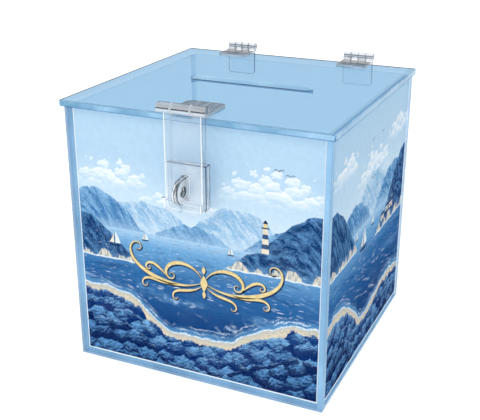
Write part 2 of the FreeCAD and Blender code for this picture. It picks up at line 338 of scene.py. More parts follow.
    def use(self, group: bpy.types.NodeTree, given: Mapping[str, Feed]) -> dict[str, Wire]:
        """Places a node group.

        Args:
            group: The group's tree.
            given: The group's inputs by name.

        Returns:
            Its outputs by name.
        """
        made = self.node("ShaderNodeGroup", given, node_tree=group)
        return {socket.name: Wire(self, socket) for socket in made.outputs}


class GroupBench(Bench):
    """Lays out a node group with named inputs and outputs."""

    def __init__(self, name: str, inputs: Sequence[str], outputs: Sequence[str]) -> None:
        """Opens the group.

        Args:
            name: The group's name.
            inputs: Its inputs' names; one called Point is a vector, and the rest are values.
            outputs: Its outputs' names, all values.
        """
        tree = bpy.data.node_groups.new(name, "ShaderNodeTree")
        for label in inputs:
            kind = "NodeSocketVector" if label == "Point" else "NodeSocketFloat"
            tree.interface.new_socket(name=label, in_out="INPUT", socket_type=kind)
        for label in outputs:
            tree.interface.new_socket(name=label, in_out="OUTPUT", socket_type="NodeSocketFloat")
        super().__init__(tree)
        self.entry = tree.nodes.new("NodeGroupInput")
        self.exit = tree.nodes.new("NodeGroupOutput")

    def given(self, label: str) -> Wire:
        """One of the group's inputs."""
        return self.wire(self.entry, label)

    def give(self, label: str, value: Wire) -> None:
        """Hands a wire out of the group."""
        self.feed(self.exit.inputs[label], value)


class Effects:
    """The shader groups that several finishes share, each built once."""

    @staticmethod
    @cache
    def smudge() -> bpy.types.NodeTree:
        """Faint handling marks on polished plastic, as a share from 0 to 1."""
        bench = GroupBench("handling_smudge", ("Point", "Spread"), ("Mark",))
        point, spread = bench.given("Point"), bench.given("Spread")
        clouds = bench.smooth(bench.noise(point, spread, 3.0, 0.6), 0.45, 0.75)
        wiped = bench.noise(point, spread * 9.0, 2.0, 0.6)
        bench.give("Mark", clouds * wiped)
        return bench.tree

    @staticmethod
    @cache
    def grain() -> bpy.types.NodeTree:
        """Brush grain of a printed painting, as a tone around 1."""
        bench = GroupBench("brush_grain", ("Point", "Pitch", "Depth"), ("Tone",))
        point, pitch, depth = (bench.given(label) for label in ("Point", "Pitch", "Depth"))
        broad = bench.noise(point, pitch, 4.0, 0.6)
        fine = bench.noise(point, pitch * 5.0, 2.0, 0.5)
        bench.give("Tone", 1.0 + (broad * 0.6 + fine * 0.4 - 0.5) * depth)
        return bench.tree

    @staticmethod
    @cache
    def ridge() -> bpy.types.NodeTree:
        """A painted skyline: where it covers, how far below its crest, and its lit facets."""
        labels = ("Along", "Height", "Crest", "Swing", "Pitch", "Seed")
        bench = GroupBench("painted_ridge", labels, ("Mask", "Drop", "Facet"))
        along, height, crest, swing, pitch, seed = (bench.given(label) for label in labels)
        skyline = bench.noise(bench.point(along * pitch, seed), 1.0, 5.0, 0.55)
        drop = crest + (skyline - 0.5) * swing * 2.0 - height
        slant = bench.point((along * 2.0 - drop * 1.6) * pitch, drop * pitch * 0.8, seed + 7.0)
        bench.give("Mask", bench.smooth(drop, -0.1, 0.25))
        bench.give("Drop", drop)
        bench.give("Facet", bench.smooth(bench.noise(slant, 1.6, 5.0, 0.6), 0.36, 0.64))
        return bench.tree

    @staticmethod
    @cache
    def cloud() -> bpy.types.NodeTree:
        """A billowing cloud bank with a flat foot: where it covers, and how bright it is."""
        labels = ("Along", "Height", "Middle", "Reach", "Foot", "Rise")
        bench = GroupBench("cloud_bank", labels, ("Mask", "Light"))
        along, height, middle, reach, foot, rise = (bench.given(label) for label in labels)
        sway = bench.noise(bench.point(along * 0.05, height * 0.05, middle), 1.0, 3.0)
        where = bench.point(along + sway * 9.0, height * 1.25 + sway * 5.0)
        big, big_up = bench.cells(where, 0.1)
        small, small_up = bench.cells(where, 0.26)
        hump = bench.bell(along, middle, reach)
        top = foot + rise * bench.math("POWER", hump, 0.55)
        lumps = (0.45 - big) * 0.75 + (0.4 - small) * 0.3
        body = top - height + lumps * rise - rise * 0.28
        soft_foot = bench.smooth(height - foot, rise * -0.12, rise * 0.34)
        bench.give("Mask", bench.smooth(body, 0.0, rise * 0.09) * soft_foot * bench.smooth(hump, 0.0, 0.3))
        bench.give("Light", bench.share(0.35 + big_up * 0.55 + small_up * 0.3 + (height - foot) / rise * 0.3))
        return bench.tree

    @staticmethod
    @cache
    def canopy() -> bpy.types.NodeTree:
        """Rounded tree crowns: where they cover, how far below the top, and their lit leaves."""
        labels = ("Along", "Height", "Crest", "Swing", "Seed")
        bench = GroupBench("leaf_canopy", labels, ("Mask", "Drop", "Light"))
        along, height, crest, swing, seed = (bench.given(label) for label in labels)
        sway = bench.noise(bench.point(along * 0.2, height * 0.2, seed), 1.0, 3.0)
        ragged = bench.noise(bench.point(along, height, seed), 0.85, 3.0, 0.7)
        spread = sway * 5.0 + ragged * 4.5
        where = bench.point(along + spread + seed * 31.0, height + spread)
        crown, crown_up = bench.cells(where, 0.09)
        tuft, tuft_up = bench.cells(where, 0.42)
        leaves = bench.noise(bench.point(along, height, seed + 5.0), 1.7, 3.0, 0.7)
        skyline = bench.noise(bench.point(along * 0.045, seed), 1.0, 3.0)
        top = crest + (skyline - 0.5) * swing * 2.0 + (0.5 - crown) * 5.0 + (0.4 - tuft) * 1.8
        light = crown_up * 1.1 - crown * 0.6 + tuft_up * 0.6 + (leaves - 0.5) * 2.0 + 0.25
        bench.give("Mask", bench.smooth(top - height, 0.0, 0.35))
        bench.give("Drop", top - height)
        bench.give("Light", bench.smooth(light, -0.15, 0.8))
        return bench.tree


@dataclass(frozen=True)
class Finish:
    """A surface finish that dresses one material."""

    name: str

    def material(self) -> bpy.types.Material:
        """The finish's material, made once."""
        made = bpy.data.materials.get(self.name)
        if made is None:
            made = bpy.data.materials.new(self.name)
            made.use_nodes = True
            made.node_tree.nodes.clear()
            self.dress(Bench(made.node_tree))
        return made

    def dress(self, bench: Bench) -> None:
        """Lays out the material's nodes."""
        raise NotImplementedError

    def close(self, bench: Bench, shader: Wire) -> None:
        """Joins the last shader to the material's output."""
        bench.node("ShaderNodeOutputMaterial", {"Surface": shader})

    def see_through(self, bench: Bench, tint: Colour, cover: Operand, solid: Wire) -> None:
        """Closes a material that shows what lies behind it.

        Args:
            bench: The material's bench.
            tint: The colour that what lies behind takes on.
            cover: How much of the solid shader covers it.
            solid: The solid shader.
        """
        self.close(bench, self.blend(bench, cover, self.clear(bench, tint), solid))

    def clear(self, bench: Bench, tint: Colour) -> Wire:
        """The clear shader, which tints what lies behind it."""
        return bench.wire(bench.node("ShaderNodeBsdfTransparent", {"Color": tint}))

    def blend(self, bench: Bench, share: Operand, first: Wire, second: Wire) -> Wire:
        """Mixes two shaders.

        Args:
            bench: The material's bench.
            share: The second shader's share.
            first: The first shader.
            second: The second shader.

        Returns:
            The mixed shader.
        """
        return bench.wire(bench.node("ShaderNodeMixShader", {0: share, 1: first, 2: second}))

    def glance(self, bench: Bench, straight: float, power: float = 5.0) -> Wire:
        """The share of light that a polished face throws back, more at a glancing look.

        Args:
            bench: The material's bench.
            straight: The share when looked at straight on.
            power: How sharply it grows.

        Returns:
            The share.
        """
        facing = bench.wire(bench.node("ShaderNodeLayerWeight"), "Facing")
        return straight + bench.math("POWER", facing, power) * (1.0 - straight)

    def marks(self, bench: Bench, point: Wire, spread: float) -> Wire:
        """Faint handling marks as a share, by how many lie along a millimetre."""
        return bench.use(Effects.smudge(), {"Point": point, "Spread": spread})["Mark"]

    def front(self, bench: Bench) -> Wire:
        """1 on a face seen from outside, and 0 on one seen from within."""
        return 1.0 - bench.wire(bench.node("ShaderNodeNewGeometry"), "Backfacing")

    def unlit(self, bench: Bench, passing: float = 0.7) -> Wire:
        """Lets most lamp light through: the share of the cover that throws a shadow, and 1 for the eye."""
        return 1.0 - bench.wire(bench.node("ShaderNodeLightPath"), "Is Shadow Ray") * passing


@dataclass(frozen=True)
class AcrylicFace(Finish):
    """A polished face of the sheet: it tints what lies behind and throws back a little light."""

    tint: Colour
    straight: float = 0.012
    glancing: float = 0.22
    haze: float = 0.003

    def dress(self, bench: Bench) -> None:
        """Lays out the tinted clear layer and its gloss."""
        mark = self.marks(bench, bench.place(), 0.021)
        sheen = bench.ramp(mark, ((0.0, screen(240, 248, 255)), (0.6, screen(214, 230, 242))))
        gloss = bench.principled({"Metallic": 1.0, "Base Color": sheen, "Roughness": 0.04 + mark * 0.22})
        mirror = self.glance(bench, self.straight) * self.glancing * self.front(bench)
        self.see_through(bench, self.tint, bench.share(mirror + self.haze + mark * 0.02), gloss)


@dataclass(frozen=True)
class AcrylicPane(AcrylicFace):
    """The outer face of a sheet with a film behind it: it bends the look, so that the film seems nearer."""

    glancing: float = 0.02
    bend: float = 1.49

    def clear(self, bench: Bench, tint: Colour) -> Wire:
        """The clear shader, bent for the eye outside and plain for lamp light and from within."""
        plain = super().clear(bench, tint)
        inputs = {"Color": tint, "Roughness": 0.0, "IOR": self.bend}
        bent = bench.wire(bench.node("ShaderNodeBsdfRefraction", inputs))
        within = bench.wire(bench.node("ShaderNodeNewGeometry"), "Backfacing")
        eye = bench.wire(bench.node("ShaderNodeLightPath"), "Is Camera Ray")
        return self.blend(bench, eye, plain, self.blend(bench, within, bent, plain))


@dataclass(frozen=True)
class AcrylicEdge(Finish):
    """A sawn and polished edge, where the sheet's tint gathers into a deeper blue, lifted by a faint painted
    glow.
    """

    deep: Colour
    pale: Colour
    inner: Colour
    inner_cover: float
    cover: float = 0.92
    # The strength of the painted glow, an emission that lifts the edge where little light reaches it
    glow: float = 0.08
    saw_pitch: float = 1.4
    saw_depth: float = 0.04 * MM

    def dress(self, bench: Bench) -> None:
        """Lays out the gathered blue with faint saw lines, clear when seen from within."""
        point = bench.place()
        mark = self.marks(bench, point, 0.05)
        drift = bench.noise(point, 0.022, 3.0, 0.55)
        saw = bench.noise(bench.point(*(value * self.saw_pitch for value in bench.split(point))), 1.0, 2.0)
        tone = bench.share(bench.smooth(drift, 0.3, 0.7) * 0.8 + mark * 0.4 + (saw - 0.5) * 0.35)
        blue = bench.ramp(tone, ((0.0, self.deep), (1.0, self.pale)))
        # The emission is a painted glow: the edge shines a little though it is no lamp
        solid = bench.principled({
            "Base Color": blue, "Emission Color": blue, "Emission Strength": self.glow,
            "Specular IOR Level": 0.25,
            "Roughness": 0.16 + saw * 0.2, "Normal": bench.bump(saw, self.saw_depth, 0.5),
        })
        cover = self.front(bench) * (self.cover - self.inner_cover) + self.inner_cover + mark * 0.02
        self.see_through(bench, self.inner, bench.share(cover) * self.unlit(bench), solid)


@dataclass(frozen=True)
class EasedRim(Finish):
    """The eased corner of a clear piece: one tone from outside, mostly a painted highlight, and a painted
    dark line from within, with painted gleams.
    """

    # The tone seen from outside, mostly a painted highlight, and the painted dark line seen from within
    bright: Colour
    dark: Colour
    outer_cover: float
    inner_cover: float
    # The strength of a painted glow on the corner
    glow: float
    # A painted gleam, laid in patches on the corner seen from outside
    gleam: Colour = screen(186, 212, 232)
    tint: Colour = screen(240, 246, 250)

    def dress(self, bench: Bench) -> None:
        """Lays out the corner's two painted looks and its painted gleam."""
        point = bench.place()
        mark = self.marks(bench, point, 0.06)
        shade = bench.noise(point, 0.09, 3.0, 0.6)
        outside = self.front(bench)
        # Painted light and shade: the outside tone, the painted dark line from within, and painted gleams in
        # patches
        tone = bench.mix(outside, self.dark, self.bright)
        tone = bench.mix(bench.smooth(shade, 0.45, 0.8) * outside * 0.25, tone, self.gleam)
        # The emission is a painted glow
        solid = bench.principled({
            "Base Color": tone, "Emission Color": tone, "Emission Strength": self.glow,
            "Specular IOR Level": 0.1, "Roughness": 0.12 + mark * 0.3,
        })
        cover = self.inner_cover + outside * (self.outer_cover - self.inner_cover) - shade * 0.1
        self.see_through(bench, self.tint, bench.share(cover) * self.unlit(bench), solid)


@dataclass(frozen=True)
class ClearMoulding(Finish):
    """Moulded clear plastic: a milky body with flow marks, more solid at a glancing look."""

    body: Colour
    flow: Colour
    haze: float
    glancing: float
    stretch: float
    pitch: float = 0.07
    tint: Colour = (0.985, 0.99, 0.995, 1.0)

    def dress(self, bench: Bench) -> None:
        """Lays out the milky body over the clear."""
        point = bench.place()
        x, y, z = bench.split(point)
        mark = self.marks(bench, point, 0.11)
        where = bench.point(x * self.pitch * self.stretch, y * self.pitch, z * self.pitch)
        swirl = bench.noise(where, 1.0, 2.0)
        milk = bench.mix(bench.smooth(swirl, 0.35, 0.7), self.body, self.flow)
        rough = 0.3 + mark * 0.2
        solid = bench.principled({"Specular IOR Level": 0.2, "Base Color": milk, "Roughness": rough})
        facing = self.glance(bench, 0.0, 3.0) * self.glancing
        cover = (self.haze + facing) * (0.25 + self.front(bench) * 0.75) + (swirl - 0.5) * self.haze * 0.5
        self.see_through(bench, self.tint, bench.share(cover) * self.unlit(bench), solid)


@dataclass(frozen=True)
class ClearBarrel(Finish):
    """A clear knuckle row: bands of light and shade run along it, as a thick clear rod shows them."""

    axis: Flat
    bands: tuple[tuple[float, int], ...]
    cover: float
    joint_at: float
    within: float = 0.35
    gap_tone: Colour = screen(222, 228, 234)
    tint: Colour = (0.95, 0.97, 0.98, 1.0)

    def dress(self, bench: Bench) -> None:
        """Lays out the bands round the barrel's axis, broken by light where two knuckles meet."""
        x, y, z = bench.split(bench.place())
        turn = bench.math("ARCTAN2", z - self.axis[1], self.axis[0] - y) / (2.0 * math.pi) + 0.5
        waver = bench.noise(bench.point(x * 0.35, turn * 9.0), 1.0, 3.0, 0.6)
        greys = [(place, screen(level - 8, level - 3, level + 3)) for place, level in self.bands]
        tone = bench.ramp(turn + (waver - 0.5) * 0.02, greys)
        if self.joint_at:
            gap = bench.math("ABSOLUTE", bench.math("ABSOLUTE", x) - self.joint_at)
            tone = bench.mix(bench.smooth(gap, 1.0, 0.5), tone, self.gap_tone)
        rough = 0.12 + waver * 0.15
        solid = bench.principled({"Specular IOR Level": 0.2, "Base Color": tone, "Roughness": rough})
        cover = (self.cover - self.within + self.front(bench) * self.within) - (waver - 0.5) * 0.3
        self.see_through(bench, self.tint, bench.share(cover) * self.unlit(bench), solid)


@dataclass(frozen=True)
class ClearWall(Finish):
    """The narrow side of a clear moulding: painted dark lines of shade and bright lines of light run along it
    from within.
    """

    thin: int
    cover: float
    pitch: float
    # The painted shade and the painted highlight of the lines
    dark: Colour
    bright: Colour = screen(236, 242, 247)
    thin_pitch: float = 0.78
    tint: Colour = (0.97, 0.98, 0.99, 1.0)

    def dress(self, bench: Bench) -> None:
        """Lays out the lines, which change across the moulding's thickness."""
        pitches = [self.thin_pitch if axis == self.thin else self.pitch for axis in range(3)]
        along = [value * pitch for value, pitch in zip(bench.split(bench.place()), pitches)]
        streak = bench.noise(bench.point(*along), 1.0, 2.0, 0.6)
        # Painted lines of shade and highlight along the side
        line = bench.mix(bench.smooth(streak, 0.4, 0.62), self.dark, self.bright)
        solid = bench.principled({"Base Color": line, "Roughness": 0.1 + streak * 0.2})
        cover = self.cover * 0.4 + self.front(bench) * self.cover * 0.6 + (streak - 0.5) * 0.2
        self.see_through(bench, self.tint, bench.share(cover) * self.unlit(bench), solid)


@dataclass(frozen=True)
class DrawnSteel(Finish):
    """Drawn steel wire: fine lines along its length."""

    along_pitch: float = 0.3
    across_pitch: float = 9.0
    line_depth: float = 0.03 * MM

    def dress(self, bench: Bench) -> None:
        """Lays out the drawn lines."""
        x, y, z = bench.split(bench.place())
        where = bench.point(x * self.along_pitch, y * self.across_pitch, z * self.across_pitch)
        lines = bench.noise(where, 1.0, 3.0, 0.6)
        grey = bench.ramp(lines, ((0.3, screen(120, 126, 134)), (0.7, screen(186, 190, 196))))
        self.close(bench, bench.principled({
            "Metallic": 1.0, "Base Color": grey, "Roughness": 0.22 + lines * 0.2,
            "Normal": bench.bump(lines, self.line_depth, 0.6),
        }))


@dataclass(frozen=True)
class FilmBacking(Finish):
    """The film's bare white plastic, on its back and at its trimmed margin."""

    def dress(self, bench: Bench) -> None:
        """Lays out the satin white with a little cast."""
        point = bench.place()
        tone = bench.use(Effects.grain(), {"Point": point, "Pitch": 0.08, "Depth": 0.16})["Tone"]
        cast = bench.noise(point, 0.012, 2.0)
        shade = bench.ramp(cast, ((0.3, screen(226, 234, 240)), (0.7, screen(244, 247, 249))))
        white = bench.mix(1.0, shade, bench.point(tone, tone, tone), "MULTIPLY")
        self.close(bench, bench.principled({"Base Color": white, "Roughness": 0.42 + (tone - 1.0) * 0.5}))


@dataclass(frozen=True)
class PrintInk(Finish):
    """One ink of the crisp motifs, laid down with the picture's brush grain."""

    light: Colour
    shade: Colour

    def dress(self, bench: Bench) -> None:
        """Lays out the ink between its light and its shade."""
        tone = bench.use(Effects.grain(), {"Point": bench.place(), "Pitch": 0.5, "Depth": 0.5})["Tone"]
        ink = bench.mix(bench.smooth(tone, 0.9, 1.1), self.shade, self.light)
        rough = 0.4 + (tone - 1.0) * 0.4
        satin = bench.principled({"Specular IOR Level": 0.0, "Base Color": ink, "Roughness": rough})
        self.close(bench, satin)


@dataclass(frozen=True)
class CloudBank:
    """One cloud of the picture, in millimetres along the wall and up it."""

    middle: float
    reach: float
    foot: float
    rise: float


@dataclass(frozen=True)
class Land:
    """One stretch of painted land: where its humps stand, how it is lit and where its foot lies."""

    humps: tuple[tuple[float, float, float], ...]
    foot: float
    swing: float
    pitch: float
    seed: float
    lit: Colour
    shade: Colour
    mist: Colour
    mist_rise: float
    cliff: float = 0.0


@dataclass(frozen=True)
class CoastPicture(Finish):
    """The printed picture: sky, islands, sea, headlands, beach and woods in misty blues.

    It runs round the box's corner: its place along the walls is measured from the front's middle.
    """

    corner: float = 95.0
    tall: float = 200.0
    horizon: float = 112.0
    clouds: tuple[CloudBank, ...] = (
        CloudBank(-66.0, 34.0, 143.0, 26.0),
        CloudBank(-8.0, 40.0, 134.0, 18.0),
        CloudBank(60.0, 44.0, 148.0, 30.0),
        CloudBank(128.0, 34.0, 160.0, 22.0),
        CloudBank(196.0, 46.0, 141.0, 30.0),
        CloudBank(262.0, 36.0, 158.0, 22.0),
    )
    islands: tuple[Land, ...] = (
        Land(((-40.0, 56.0, 25.0), (34.0, 48.0, 31.0), (196.0, 64.0, 36.0)), 111.0, 6.5, 0.07, 3.0,
             screen(214, 232, 246), screen(140, 186, 222), screen(218, 236, 248), 15.0),
        Land(((-84.0, 48.0, 31.0), (-2.0, 34.0, 14.0), (74.0, 40.0, 22.0), (152.0, 44.0, 25.0),
              (250.0, 56.0, 29.0)),
             110.0, 6.0, 0.08, 9.0, screen(150, 196, 230), screen(62, 122, 178), screen(180, 213, 238), 12.0),
    )
    headlands: tuple[Land, ...] = (
        Land(((98.0, 64.0, 50.0), (60.0, 38.0, 19.0)), 96.0, 5.0, 0.085, 21.0,
             screen(98, 152, 200), screen(12, 56, 108), screen(104, 158, 204), 9.0, 8.0),
        Land(((-101.0, 56.0, 36.0),), 86.0, 5.0, 0.09, 27.0,
             screen(92, 146, 196), screen(10, 52, 104), screen(98, 152, 200), 8.0, 7.0),
        Land(((292.0, 72.0, 58.0), (240.0, 36.0, 15.0)), 89.0, 5.5, 0.08, 33.0,
             screen(88, 142, 194), screen(9, 48, 100), screen(96, 150, 200), 9.0, 9.0),
    )

    def dress(self, bench: Bench) -> None:
        """Paints from the sky down to the woods."""
        point = bench.place()
        x, y, height = bench.split(point)
        along = x + y + self.corner
        colour = self.paint_sky(bench, along, height)
        for land in self.islands:
            colour = self.paint_land(bench, along, height, colour, land)
        colour = self.paint_sea(bench, along, height, colour)
        for land in self.headlands:
            colour = self.paint_land(bench, along, height, colour, land)
        colour = self.paint_shore(bench, along, height, colour)
        tone = bench.use(Effects.grain(), {"Point": point, "Pitch": 0.22, "Depth": 0.3})["Tone"]
        colour = bench.mix(1.0, colour, bench.point(tone, tone, tone), "MULTIPLY")
        rough = 0.38 + (tone - 1.0) * 0.4
        satin = bench.principled({"Specular IOR Level": 0.0, "Base Color": colour, "Roughness": rough})
        self.close(bench, satin)

    def paint_sky(self, bench: Bench, along: Wire, height: Wire) -> Wire:
        """Paints the sky's fade and its clouds.

        Args:
            bench: The material's bench.
            along: Place along the walls.
            height: Place up the walls.

        Returns:
            The painted colour so far.
        """
        drift = bench.noise(bench.point(along * 0.012, height * 0.03), 1.0, 3.0)
        colour = bench.ramp(height / self.tall + (drift - 0.5) * 0.12, (
            (0.54, screen(224, 238, 248)), (0.7, screen(204, 227, 243)),
            (0.84, screen(188, 217, 239)), (1.0, screen(190, 220, 241)),
        ))
        for cloud in self.clouds:
            given = {"Along": along, "Height": height, "Middle": cloud.middle, "Reach": cloud.reach,
                     "Foot": cloud.foot, "Rise": cloud.rise}
            bank = bench.use(Effects.cloud(), given)
            white = bench.ramp(bank["Light"], (
                (0.1, screen(196, 222, 242)), (0.5, screen(232, 243, 251)), (0.8, screen(252, 254, 255)),
            ))
            colour = bench.mix(bank["Mask"] * 0.94, colour, white)
        return colour

    def paint_land(self, bench: Bench, along: Wire, height: Wire, under: Wire, land: Land) -> Wire:
        """Paints one stretch of land over what is there.

        Args:
            bench: The material's bench.
            along: Place along the walls.
            height: Place up the walls.
            under: The colour painted so far.
            land: The land to paint.

        Returns:
            The painted colour so far.
        """
        rise: Operand = 0.0
        for middle, reach, top in land.humps:
            rise = bench.highest(rise, bench.math("POWER", bench.bell(along, middle, reach), 1.3) * top)
        present = bench.smooth(rise, 0.3, 3.0)
        given = {"Along": along, "Height": height, "Crest": land.foot + rise, "Swing": present * land.swing,
                 "Pitch": land.pitch, "Seed": land.seed}
        ridge = bench.use(Effects.ridge(), given)
        wander = bench.noise(bench.point(along * 0.11, height * 0.11, land.seed), 1.0, 4.0, 0.6)
        scrub = bench.noise(bench.point(along, height, land.seed), 0.75, 4.0, 0.7)
        speckle = bench.smooth(scrub, 0.42, 0.66) - 0.4
        crest = bench.smooth(ridge["Drop"], 5.0, 0.0) * 0.2
        tone = bench.share(ridge["Facet"] * 0.7 + speckle * 0.45 + (wander - 0.5) * 0.5 + crest)
        colour = bench.mix(tone, land.shade, land.lit)
        colour = bench.mix(bench.smooth(height - land.foot, land.mist_rise, 0.0) * 0.55, colour, land.mist)
        edge = land.foot + (wander - 0.5) * 3.0
        if land.cliff:
            streak = bench.noise(bench.point(along * 0.9, height * 0.12, land.seed), 1.0, 3.0, 0.6)
            chalk = bench.mix(bench.smooth(streak, 0.36, 0.62), screen(150, 162, 172), screen(240, 230, 208))
            broken = bench.noise(bench.point(along * 0.1, land.seed), 1.0, 4.0)
            brow = land.cliff * bench.smooth(broken, 0.38, 0.6)
            colour = bench.mix(bench.smooth(edge + brow - height, 0.0, 0.5), colour, chalk)
            wash = bench.smooth(edge + 1.3 - height, 0.0, 0.4) * 0.85
            colour = bench.mix(wash, colour, screen(236, 246, 252))
        cover = ridge["Mask"] * present * bench.smooth(height - edge, -0.3, 0.3)
        return bench.mix(cover, under, colour)

    def paint_sea(self, bench: Bench, along: Wire, height: Wire, under: Wire) -> Wire:
        """Paints the sea below the horizon, its swell drawn out by distance.

        Args:
            bench: The material's bench.
            along: Place along the walls.
            height: Place up the walls.
            under: The colour painted so far.

        Returns:
            The painted colour so far.
        """
        depth = bench.highest(self.horizon - height, 0.0)
        near = 1.0 / (depth + 9.0)
        swell = bench.noise(bench.point(along * near * 1.6, near * 190.0, 2.0), 1.0, 4.0, 0.6)
        chop = bench.noise(bench.point(along * near * 6.0, near * 620.0, 5.0), 1.0, 3.0, 0.6)
        colour = bench.ramp(depth / 80.0 + (swell - 0.5) * 0.16, (
            (0.0, screen(178, 213, 239)), (0.12, screen(112, 170, 216)),
            (0.4, screen(44, 106, 166)), (0.85, screen(14, 64, 124)),
        ))
        colour = bench.mix(bench.smooth(swell, 0.52, 0.7) * 0.45, colour, screen(120, 176, 220))
        colour = bench.mix(bench.smooth(swell, 0.47, 0.32) * 0.5, colour, screen(10, 54, 112))
        colour = bench.mix(bench.smooth(chop, 0.57, 0.7) * 0.5, colour, screen(196, 224, 243))
        return bench.mix(bench.smooth(self.horizon - height, -0.1, 0.25), under, colour)

    def swell_up(self, bench: Bench, along: Wire, middle: float, reach: float) -> Wire:
        """A hump of the shore that eases into the level on both sides."""
        return bench.smooth(bench.bell(along, middle, reach), 0.0, 1.0)

    def paint_shore(self, bench: Bench, along: Wire, height: Wire, under: Wire) -> Wire:
        """Paints the beach with its surf, and the woods in front of it.

        Args:
            bench: The material's bench.
            along: Place along the walls.
            height: Place up the walls.
            under: The colour painted so far.

        Returns:
            The painted colour so far.
        """
        sweep = bench.noise(bench.point(along * 0.014, 4.0), 1.0, 3.0)
        shore = 36.0 + (sweep - 0.5) * 34.0
        for middle, reach, rise in ((100.0, 84.0, 26.0), (-98.0, 76.0, 28.0)):
            shore = shore + self.swell_up(bench, along, middle, reach) * rise
        ripple = bench.noise(bench.point(along * 0.09, height * 0.05), 1.0, 4.0, 0.6)
        below = shore + (ripple - 0.5) * 5.0 - height
        grit = bench.noise(bench.point(along, height), 0.8, 3.0, 0.7)
        sand = bench.mix(bench.smooth(grit, 0.3, 0.7), screen(196, 182, 160), screen(244, 232, 206))
        sand = bench.mix(bench.smooth(below, 6.0, 0.5) * 0.5, sand, screen(176, 186, 192))
        surf = bench.mix(bench.smooth(grit, 0.38, 0.6), screen(150, 194, 226), screen(246, 251, 254))
        torn = bench.noise(bench.point(along * 0.16, height * 0.3, 8.0), 1.0, 4.0, 0.7)
        colour = bench.mix(bench.smooth(below, -7.0, -0.5) * 0.7, under, screen(96, 158, 206))
        for reach, share, seed in ((-6.5, 0.5, 2.0), (-3.2, 0.7, 6.0)):
            broken = bench.noise(bench.point(along * 0.05, height * 0.1, seed), 1.0, 3.0, 0.6)
            crest = bench.bell(below + (torn - 0.5) * 7.0, reach, 0.7)
            spray = bench.smooth(crest, 0.1, 0.7) * bench.smooth(broken, 0.46, 0.58) * share
            colour = bench.mix(spray, colour, surf)
        colour = bench.mix(bench.smooth(below + (torn - 0.5) * 4.0, -0.7, -0.1), colour, surf)
        colour = bench.mix(bench.smooth(below, 0.5, 1.3), colour, sand)
        for seed, drop, swing, lit, shade in (
            (1.0, 6.0, 5.0, screen(124, 180, 224), screen(10, 54, 118)),
            (2.0, 16.0, 5.0, screen(108, 168, 218), screen(6, 42, 102)),
            (3.0, 28.0, 6.0, screen(96, 156, 210), screen(4, 32, 86)),
        ):
            given = {"Along": along, "Height": height, "Crest": shore - drop, "Swing": swing, "Seed": seed}
            woods = bench.use(Effects.canopy(), given)
            leaf = bench.mix(woods["Light"], shade, lit)
            sunlit = bench.smooth(woods["Drop"], 3.0, 0.0) * woods["Light"] * 0.6
            leaf = bench.mix(sunlit, leaf, screen(176, 208, 234))
            colour = bench.mix(woods["Mask"], colour, leaf)
        return colour


class Slot(IntEnum):
    """The material slots of a sheet; the last is the lid's band, or the pane over a wall's film."""

    FACE = 0
    EDGE = 1
    RIM = 2
    PALE = 3
    OVER = 4


@dataclass(frozen=True)
class SheetTones:
    """A sheet's look: its faces' tint, its sawn edges and their cover from within, and its pale edges, whose
    tones are lightened and given a painted glow where the lid shades them.
    """

    tint: Colour
    deep: Colour = screen(94, 148, 188)
    pale: Colour = screen(132, 182, 219)
    inner_cover: float = 0.06
    # The pale edges' tones, lightened to make up for the lid's shade
    milky: Colour = screen(214, 230, 240)
    milkier: Colour = screen(234, 243, 249)
    clear: Colour = (0.99, 0.995, 1.0, 1.0)
    # The pale edges' painted glow
    glow: float = 0.1


class Sheet(Enum):
    """The kinds of sheet that the box is made of."""

    LID = SheetTones((0.565, 0.71, 0.825, 1.0), screen(82, 140, 178), screen(164, 206, 236), 0.06,
                     screen(150, 192, 220), screen(188, 218, 238), (0.565, 0.71, 0.825, 1.0))
    BACK = SheetTones((0.93, 0.965, 0.985, 1.0))
    FRONT = SheetTones((0.985, 0.993, 0.998, 1.0), inner_cover=0.8)
    # The right wall's pale edges take a strong painted glow that lifts them in the lid's shade
    SIDE = SheetTones((0.98, 0.99, 0.997, 1.0), screen(134, 180, 214), screen(168, 212, 243), 0.62, glow=0.5)

    def finishes(self) -> tuple[Finish, ...]:
        """The sheet's finishes in slot order."""
        look: SheetTones = self.value
        label = self.name.lower()
        over: Finish = AcrylicPane(f"acrylic_pane_{label}", look.tint)
        # The lid's band is a painted darker tint that stands in for the right wall's top edge seen bent
        # through the lid
        if self is Sheet.LID:
            band = tuple(tone * share for tone, share in zip(look.tint, BAND_SHARES))
            over = AcrylicFace(f"acrylic_band_{label}", band)
        return (
            AcrylicFace(f"acrylic_face_{label}", look.tint),
            AcrylicEdge(f"acrylic_edge_{label}", look.deep, look.pale, look.tint, look.inner_cover),
            # The eased rims: a blue line from outside and a painted dark line from within
            EasedRim(f"acrylic_rim_{label}", screen(96, 146, 182), screen(30, 48, 62), 0.8, 0.92, 0.0),
            # The pale edge: lightened tones with a painted glow
            AcrylicEdge(f"acrylic_pale_edge_{label}", look.milky, look.milkier, look.clear, 0.0, 0.7,
                        look.glow),
            over,
        )


class Role(IntEnum):
    """The material slots of a clear moulding."""

    FACE = 0
    RIM = 1
    WALL = 2
    BARREL = 3
    RING = 4


@dataclass(frozen=True)
class KnuckleTones:
    """A knuckle row's look: its joint, its grey bands of painted light and shade from below to above, their
    cover, its rings' tone, and where light shows between two knuckles, in millimetres from the middle."""

    joint: str
    bands: tuple[tuple[float, int], ...]
    cover: float
    ring: Colour
    joint_at: float = 0.0


